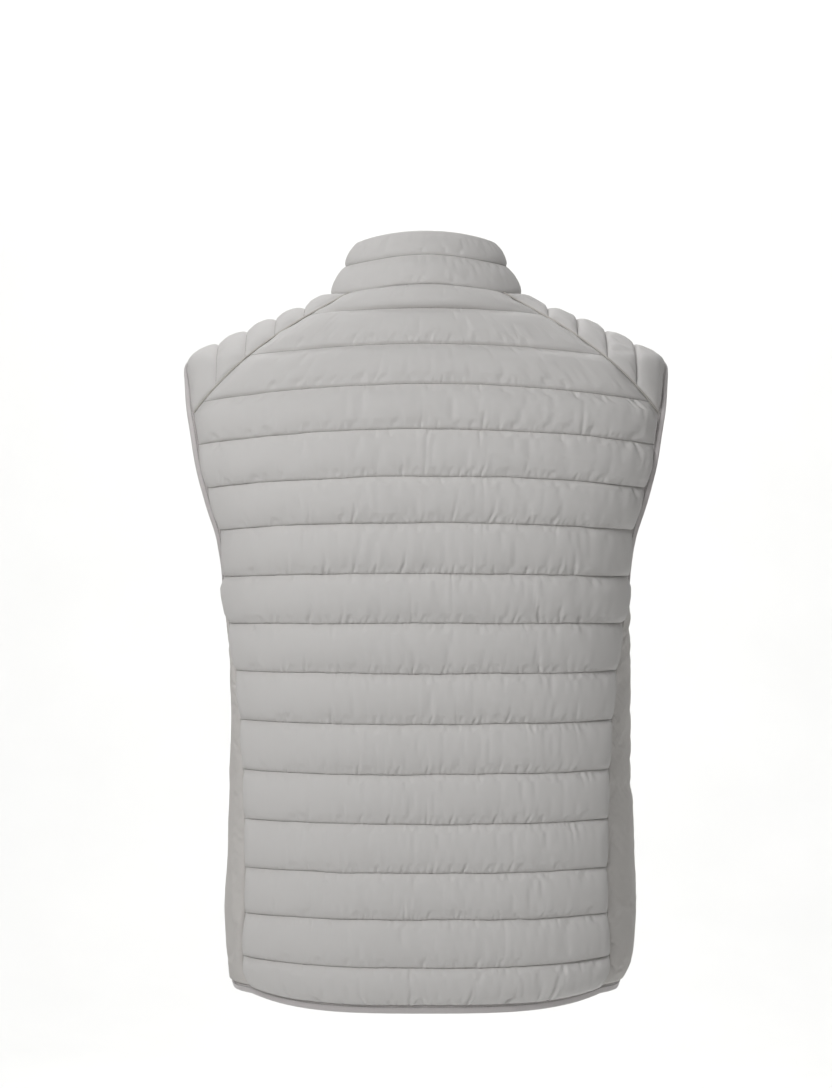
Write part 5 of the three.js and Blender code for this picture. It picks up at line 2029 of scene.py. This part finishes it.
def hem_line():
    """The hem edge from the left of the zip round to the right of it, with its normals."""
    front = np.linspace(ZIP_EDGE_X, float(row_end_x(HEM_SEAM_Z, FRONT)), 60)
    front = on_face(front, stitch_z(HEM_SEAM_Z, front), FRONT)
    starts, ends, _ = side_rows(20)
    share = np.linspace(1, 0, 40)
    side = on_side(mix(starts[0][1], ends[0][1], share), mix(starts[0][2], ends[0][2], share))
    back = back_rows([HEM_SEAM_Z], np.linspace(1, 0, 60))[0]
    half = np.concatenate([front, side[1:], back[1:]])
    line = np.concatenate([half, half[-2::-1] * [-1, 1, 1]])
    line = evenly(line, 3)[0]
    return line, outward(line)


class VEST_OT_bindings(bpy.types.Operator):
    """Bindings of both armholes and the hem"""

    bl_idname = "vest.bindings"
    bl_label = "Add bindings"

    def execute(self, context):
        angle = np.linspace(0, 2 * math.pi, 721)[:-1]
        line = armhole_point(angle)
        normals = outward(line)
        hole = np.array([float(armhole_point(0.0)[0]), ARMHOLE_Y, ARMHOLE_Z])
        for name, side, seed in (("left", LEFT, 111), ("right", RIGHT, 112)):
            turn = np.array([side, 1, 1])
            piece = binding_strip(
                context,
                f"armhole_band_{name}",
                line * turn,
                normals * turn,
                lambda p, turn=turn: hole * turn - p,
                ARMHOLE_BAND,
                True,
                seed,
                armhole_flare,
            )
            settle_in(piece, "vest", [f"armhole_binding_{name}"])
        line, normals = hem_line()
        piece = binding_strip(
            context, "hem_band", line, normals, lambda p: np.array([0, 0, -1.0]) + 0 * p, HEM_BAND, False, 113
        )
        settle_in(piece, "vest", ["hem_binding"])
        return {"FINISHED"}


# Zip


def zip_line():
    """The zip's line up the centre front, from the hem binding's lower edge to the collar's top."""
    heights = [HEM_SEAM_Z - HEM_BAND[0]]
    heights += [z for z in STITCH_LEVELS if z < ZIP_NECK_POINT[2] - 20] + [float(ZIP_NECK_POINT[2])]
    body = on_face(np.zeros(len(heights)), np.array(heights), FRONT)
    foot = np.array([0, ZIP_NECK_POINT[1], ZIP_NECK_POINT[2]])
    top = collar_top_point(np.array(ZIP_NECK_ANGLE)) * [0, 1, 1]
    start = foot + unit(top - foot) * SEAM_GAP
    return np.concatenate([body, [mix(start, top, COLLAR_STITCH_SHARE), top]])


def dense_zip_line(spacing):
    """The zip's line at even distances, with the directions up it and out of it."""
    line = evenly(zip_line(), spacing)[0]
    up = unit(np.gradient(line, axis=0))
    out = np.stack([np.zeros(len(up)), -up[:, 2], up[:, 1]], axis=-1)
    return line, up, out


class VEST_OT_zip(bpy.types.Operator):
    """Closed front zip: tapes, teeth, end box, slider and pull tab"""

    bl_idname = "vest.zip"
    bl_label = "Add zip"

    def execute(self, context):
        self.add_tapes(context)
        self.add_teeth(context)
        self.add_metal(context)
        return {"FINISHED"}

    def add_tapes(self, context):
        colours = context.scene.vest_colours
        finish = found_finish(
            "zip_tape_cloth", lambda name: woven_finish(name, colours.zip_tape, 0.75, 0.9, 0.2, 0.8, 2)
        )
        line, _, out = dense_zip_line(ZIP_TAPE_SPACING)
        across = np.broadcast_to(np.array([1.0, 0, 0]), line.shape)
        travel = np.arange(len(line)) * ZIP_TAPE_SPACING
        wide = ZIP_TAPE_TO - ZIP_TAPE_FROM
        section = rounded_section(wide, ZIP_TAPE_TOP, ZIP_TAPE_UNDER, 14, 5)
        for name, side, seed in (("left", LEFT, 121), ("right", RIGHT, 122)):
            random = np.random.default_rng(seed)
            wave = 0.12 * smooth_noise(travel, 14, random)
            sections = np.repeat(section[None], len(line), axis=0)
            sections[..., 0] += ZIP_TAPE_FROM
            sections[..., 1] += wave[:, None]
            points, faces = carried_section(line, out, across, sections, False)
            ring = np.arange(len(section)) / len(section) * 2 * (wide + 1.2)
            places = np.stack(np.broadcast_arrays(travel[:, None], ring[None]), axis=-1).reshape(-1, 2)
            piece = new_piece(
                context,
                f"zip_tape_cloth_{name}",
                points * [side, 1, 1],
                faces,
                finish,
                places,
                np.zeros(len(points)),
            )
            settle_in(piece, "vest", [f"zip_tape_{name}"])

    def tooth_shape(self, context):
        """One moulded tooth, modelled: points in millimetres and faces."""
        bpy.ops.object.select_all(action="DESELECT")
        bpy.ops.mesh.primitive_cube_add(size=1, location=(0, 0, 0))
        tooth = context.object
        bpy.ops.object.mode_set(mode="EDIT")
        bpy.ops.mesh.select_all(action="SELECT")
        bpy.ops.transform.resize(value=(3.1, 1.3, 0.95))
        select_faces(tooth, lambda face: face.normal.x < -0.9)
        bpy.ops.transform.resize(value=(1, 0.75, 0.7))
        select_faces(tooth, lambda face: face.normal.y < -0.9)
        bpy.ops.transform.resize(value=(0.8, 1, 0.6))
        bpy.ops.object.mode_set(mode="OBJECT")
        points = np.array([vertex.co[:] for vertex in tooth.data.vertices])
        faces = [list(polygon.vertices) for polygon in tooth.data.polygons]
        mesh = tooth.data
        bpy.data.objects.remove(tooth)
        bpy.data.meshes.remove(mesh)
        return points, faces

    def add_teeth(self, context):
        size, colours = context.scene.vest_sizes, context.scene.vest_colours
        finish = found_finish("zip_plastic", lambda name: moulded_finish(name, colours.zip_teeth, 0.38))
        shape, shape_faces = self.tooth_shape(context)
        pitch = mm(size.tooth_pitch)
        line, up, out = dense_zip_line(pitch / 2)
        travel = np.arange(len(line)) * pitch / 2
        keep = (travel > ZIP_BOX_LONG + 1) & (travel < travel[-1] - SLIDER_BELOW_TOP - 1)
        points, faces = [], []
        for i in np.flatnonzero(keep):
            side = 1 if i % 2 else -1
            local = shape * [side, 1, 1] + [side * 1.15, 0, 0]
            placed = line[i] + local[:, 0:1] * [1, 0, 0] - local[:, 1:2] * out[i] + local[:, 2:3] * up[i]
            start = len(points) * len(shape)
            points.append(placed)
            for face in shape_faces:
                turned = face if side > 0 else face[::-1]
                faces.append([start + k for k in turned])
        piece = new_piece(
            context, "zip_teeth", np.concatenate(points), faces, finish, None, None, math.radians(35)
        )
        settle_in(piece, "vest", ["zip_chain"])

    def add_metal(self, context):
        colours = context.scene.vest_colours
        metal = found_finish("zip_metal", lambda name: metal_finish(name, colours.zip_metal, 0.36))
        plastic = found_finish("zip_plastic", lambda name: moulded_finish(name, colours.zip_teeth, 0.38))
        for name, node, body, slot, finish, edge in (
            ("zip_end_box", "zip_box", "vest", "zip_chain", plastic, 0.5),
            ("zip_slider_body", "zip_slider", "vest", "zip_metal", metal, 0.3),
            ("zip_pull_tab", "zip_pull", "pull_tab", "zip_metal", metal, 0.22),
        ):
            piece = bevelled_copy(context, node, name, edge / 1000)
            piece.data.materials.clear()
            piece.data.materials.append(finish)
            settle_in(piece, body, [node])


def select_faces(piece, test):
    """Selects the faces of the mesh in edit mode that pass a test, and nothing else."""
    bpy.ops.mesh.select_all(action="DESELECT")
    shape = bmesh.from_edit_mesh(piece.data)
    for face in shape.faces:
        if test(face):
            face.select_set(True)
    bmesh.update_edit_mesh(piece.data)


def bevelled_copy(context, node, name, edge):
    """A copy of a hard node with its loose triangles merged and its edges rounded."""
    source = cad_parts[node]
    mesh = source.data.copy()
    mesh.transform(source.matrix_world)
    mesh.name = name
    piece = bpy.data.objects.new(name, mesh)
    context.scene.collection.objects.link(piece)
    bpy.ops.object.select_all(action="DESELECT")
    piece.select_set(True)
    context.view_layer.objects.active = piece
    bpy.ops.object.mode_set(mode="EDIT")
    bpy.ops.mesh.select_all(action="SELECT")
    bpy.ops.mesh.remove_doubles(threshold=1e-6)
    bpy.ops.mesh.dissolve_limited(angle_limit=math.radians(3))
    bpy.ops.object.mode_set(mode="OBJECT")
    bevel = piece.modifiers.new("Rounded edges", "BEVEL")
    bevel.width = edge
    bevel.segments = 2
    bevel.limit_method = "ANGLE"
    bevel.angle_limit = math.radians(35)
    bpy.ops.object.modifier_apply(modifier=bevel.name)
    smooth(context, piece, math.radians(40))
    return piece


# Stage


class VEST_OT_stage(bpy.types.Operator):
    """Pale floor that curves up into walls, soft lights and the camera"""

    bl_idname = "vest.stage"
    bl_label = "Add stage"

    def execute(self, context):
        self.add_floor(context)
        self.add_light(context, "key_light", (0.9, 1.76, 0.82), 0.8, 20.6)
        self.add_light(context, "front_light", (1.2, -3.0, 1.4), 2.4, 8)
        self.add_wall_light(context, "backdrop_light", -1, 310)
        self.add_wall_light(context, "front_wall_light", 1, 60)
        world = bpy.data.worlds.new("studio")
        world.use_nodes = True
        world.node_tree.nodes["Background"].inputs["Color"].default_value = (1, 0.995, 0.985, 1)
        world.node_tree.nodes["Background"].inputs["Strength"].default_value = 0.05
        context.scene.world = world
        context.scene.view_settings.view_transform = "Standard"
        bpy.ops.object.camera_add(location=(0.0098, 3.2, -0.244), rotation=(math.pi / 2, 0, math.pi))
        camera = context.object
        camera.name = "camera"
        camera.data.lens = 108.03
        camera.data.sensor_width = 36
        context.scene.camera = camera
        return {"FINISHED"}

    def add_floor(self, context):
        colours = context.scene.vest_colours
        bpy.ops.object.select_all(action="DESELECT")
        bpy.ops.mesh.primitive_plane_add(size=1, location=(0, 0, 0))
        floor = context.object
        floor.name = "studio_floor"
        bpy.ops.object.mode_set(mode="EDIT")
        bpy.ops.mesh.select_all(action="SELECT")
        bpy.ops.transform.resize(value=(28, 14, 1))
        bpy.ops.transform.translate(value=(0, 0.5, -1.45))
        select_edges(floor, lambda edge: edge.is_boundary)
        bpy.ops.mesh.extrude_region_move(TRANSFORM_OT_translate={"value": (0, 0, 6)})
        select_edges(floor, lambda edge: any(v.co.z < -1.4 for v in edge.verts))
        bpy.ops.mesh.bevel(offset=2.2, segments=24, affect="EDGES")
        bpy.ops.object.mode_set(mode="OBJECT")
        smooth(context, floor, math.radians(60))
        floor.data.materials.append(plain_finish("studio_paint", colours.floor, 0.9))

    def add_light(self, context, name, place, size, power, target=(0, 0, -0.32)):
        bpy.ops.object.light_add(type="AREA", location=place)
        light = context.object
        light.name = name
        light.data.size = size
        light.data.energy = power
        aim = Vector(target) - Vector(place)
        light.rotation_euler = aim.to_track_quat("-Z", "Y").to_euler()

    def add_wall_light(self, context, name, side, power):
        """A large soft light on the back or the front wall of the studio."""
        self.add_light(context, name, (0, side * 2.2, 3.2), 5, power, (0, side * 6.5, -0.8))


def select_edges(piece, test):
    """Selects the edges of the mesh in edit mode that pass a test, and nothing else."""
    bpy.ops.mesh.select_all(action="DESELECT")
    shape = bmesh.from_edit_mesh(piece.data)
    for edge in shape.edges:
        if test(edge):
            edge.select_set(True)
    bmesh.update_edit_mesh(piece.data)


# Panel, registration and the whole vest


OPERATORS = (
    VEST_OT_stage,
    VEST_OT_back,
    VEST_OT_fronts,
    VEST_OT_sides,
    VEST_OT_shoulders,
    VEST_OT_collar,
    VEST_OT_pipings,
    VEST_OT_bindings,
    VEST_OT_zip,
)


class VEST_PT_panel(bpy.types.Panel):
    """Sizes, colours and pieces of the vest"""

    bl_idname = "VEST_PT_panel"
    bl_label = "Quilted vest"
    bl_space_type = "VIEW_3D"
    bl_region_type = "UI"
    bl_category = "Vest"

    def draw(self, context):
        for group in (context.scene.vest_sizes, context.scene.vest_cloth, context.scene.vest_colours):
            box = self.layout.box()
            for name in group.__annotations__:
                box.prop(group, name)
        for operator in OPERATORS:
            self.layout.operator(operator.bl_idname)


CLASSES = (VestSizes, VestCloth, VestColours, *OPERATORS, VEST_PT_panel)


def register():
    for one in CLASSES:
        bpy.utils.register_class(one)
    bpy.types.Scene.vest_sizes = PointerProperty(type=VestSizes)
    bpy.types.Scene.vest_cloth = PointerProperty(type=VestCloth)
    bpy.types.Scene.vest_colours = PointerProperty(type=VestColours)


def unregister():
    del bpy.types.Scene.vest_colours
    del bpy.types.Scene.vest_cloth
    del bpy.types.Scene.vest_sizes
    for one in reversed(CLASSES):
        bpy.utils.unregister_class(one)


def main():
    register()
    bpy.ops.vest.stage()
    bpy.ops.vest.back()
    bpy.ops.vest.fronts()
    bpy.ops.vest.sides()
    bpy.ops.vest.shoulders()
    bpy.ops.vest.collar()
    bpy.ops.vest.pipings()
    bpy.ops.vest.bindings()
    bpy.ops.vest.zip()


if __name__ == "__main__":
    main()
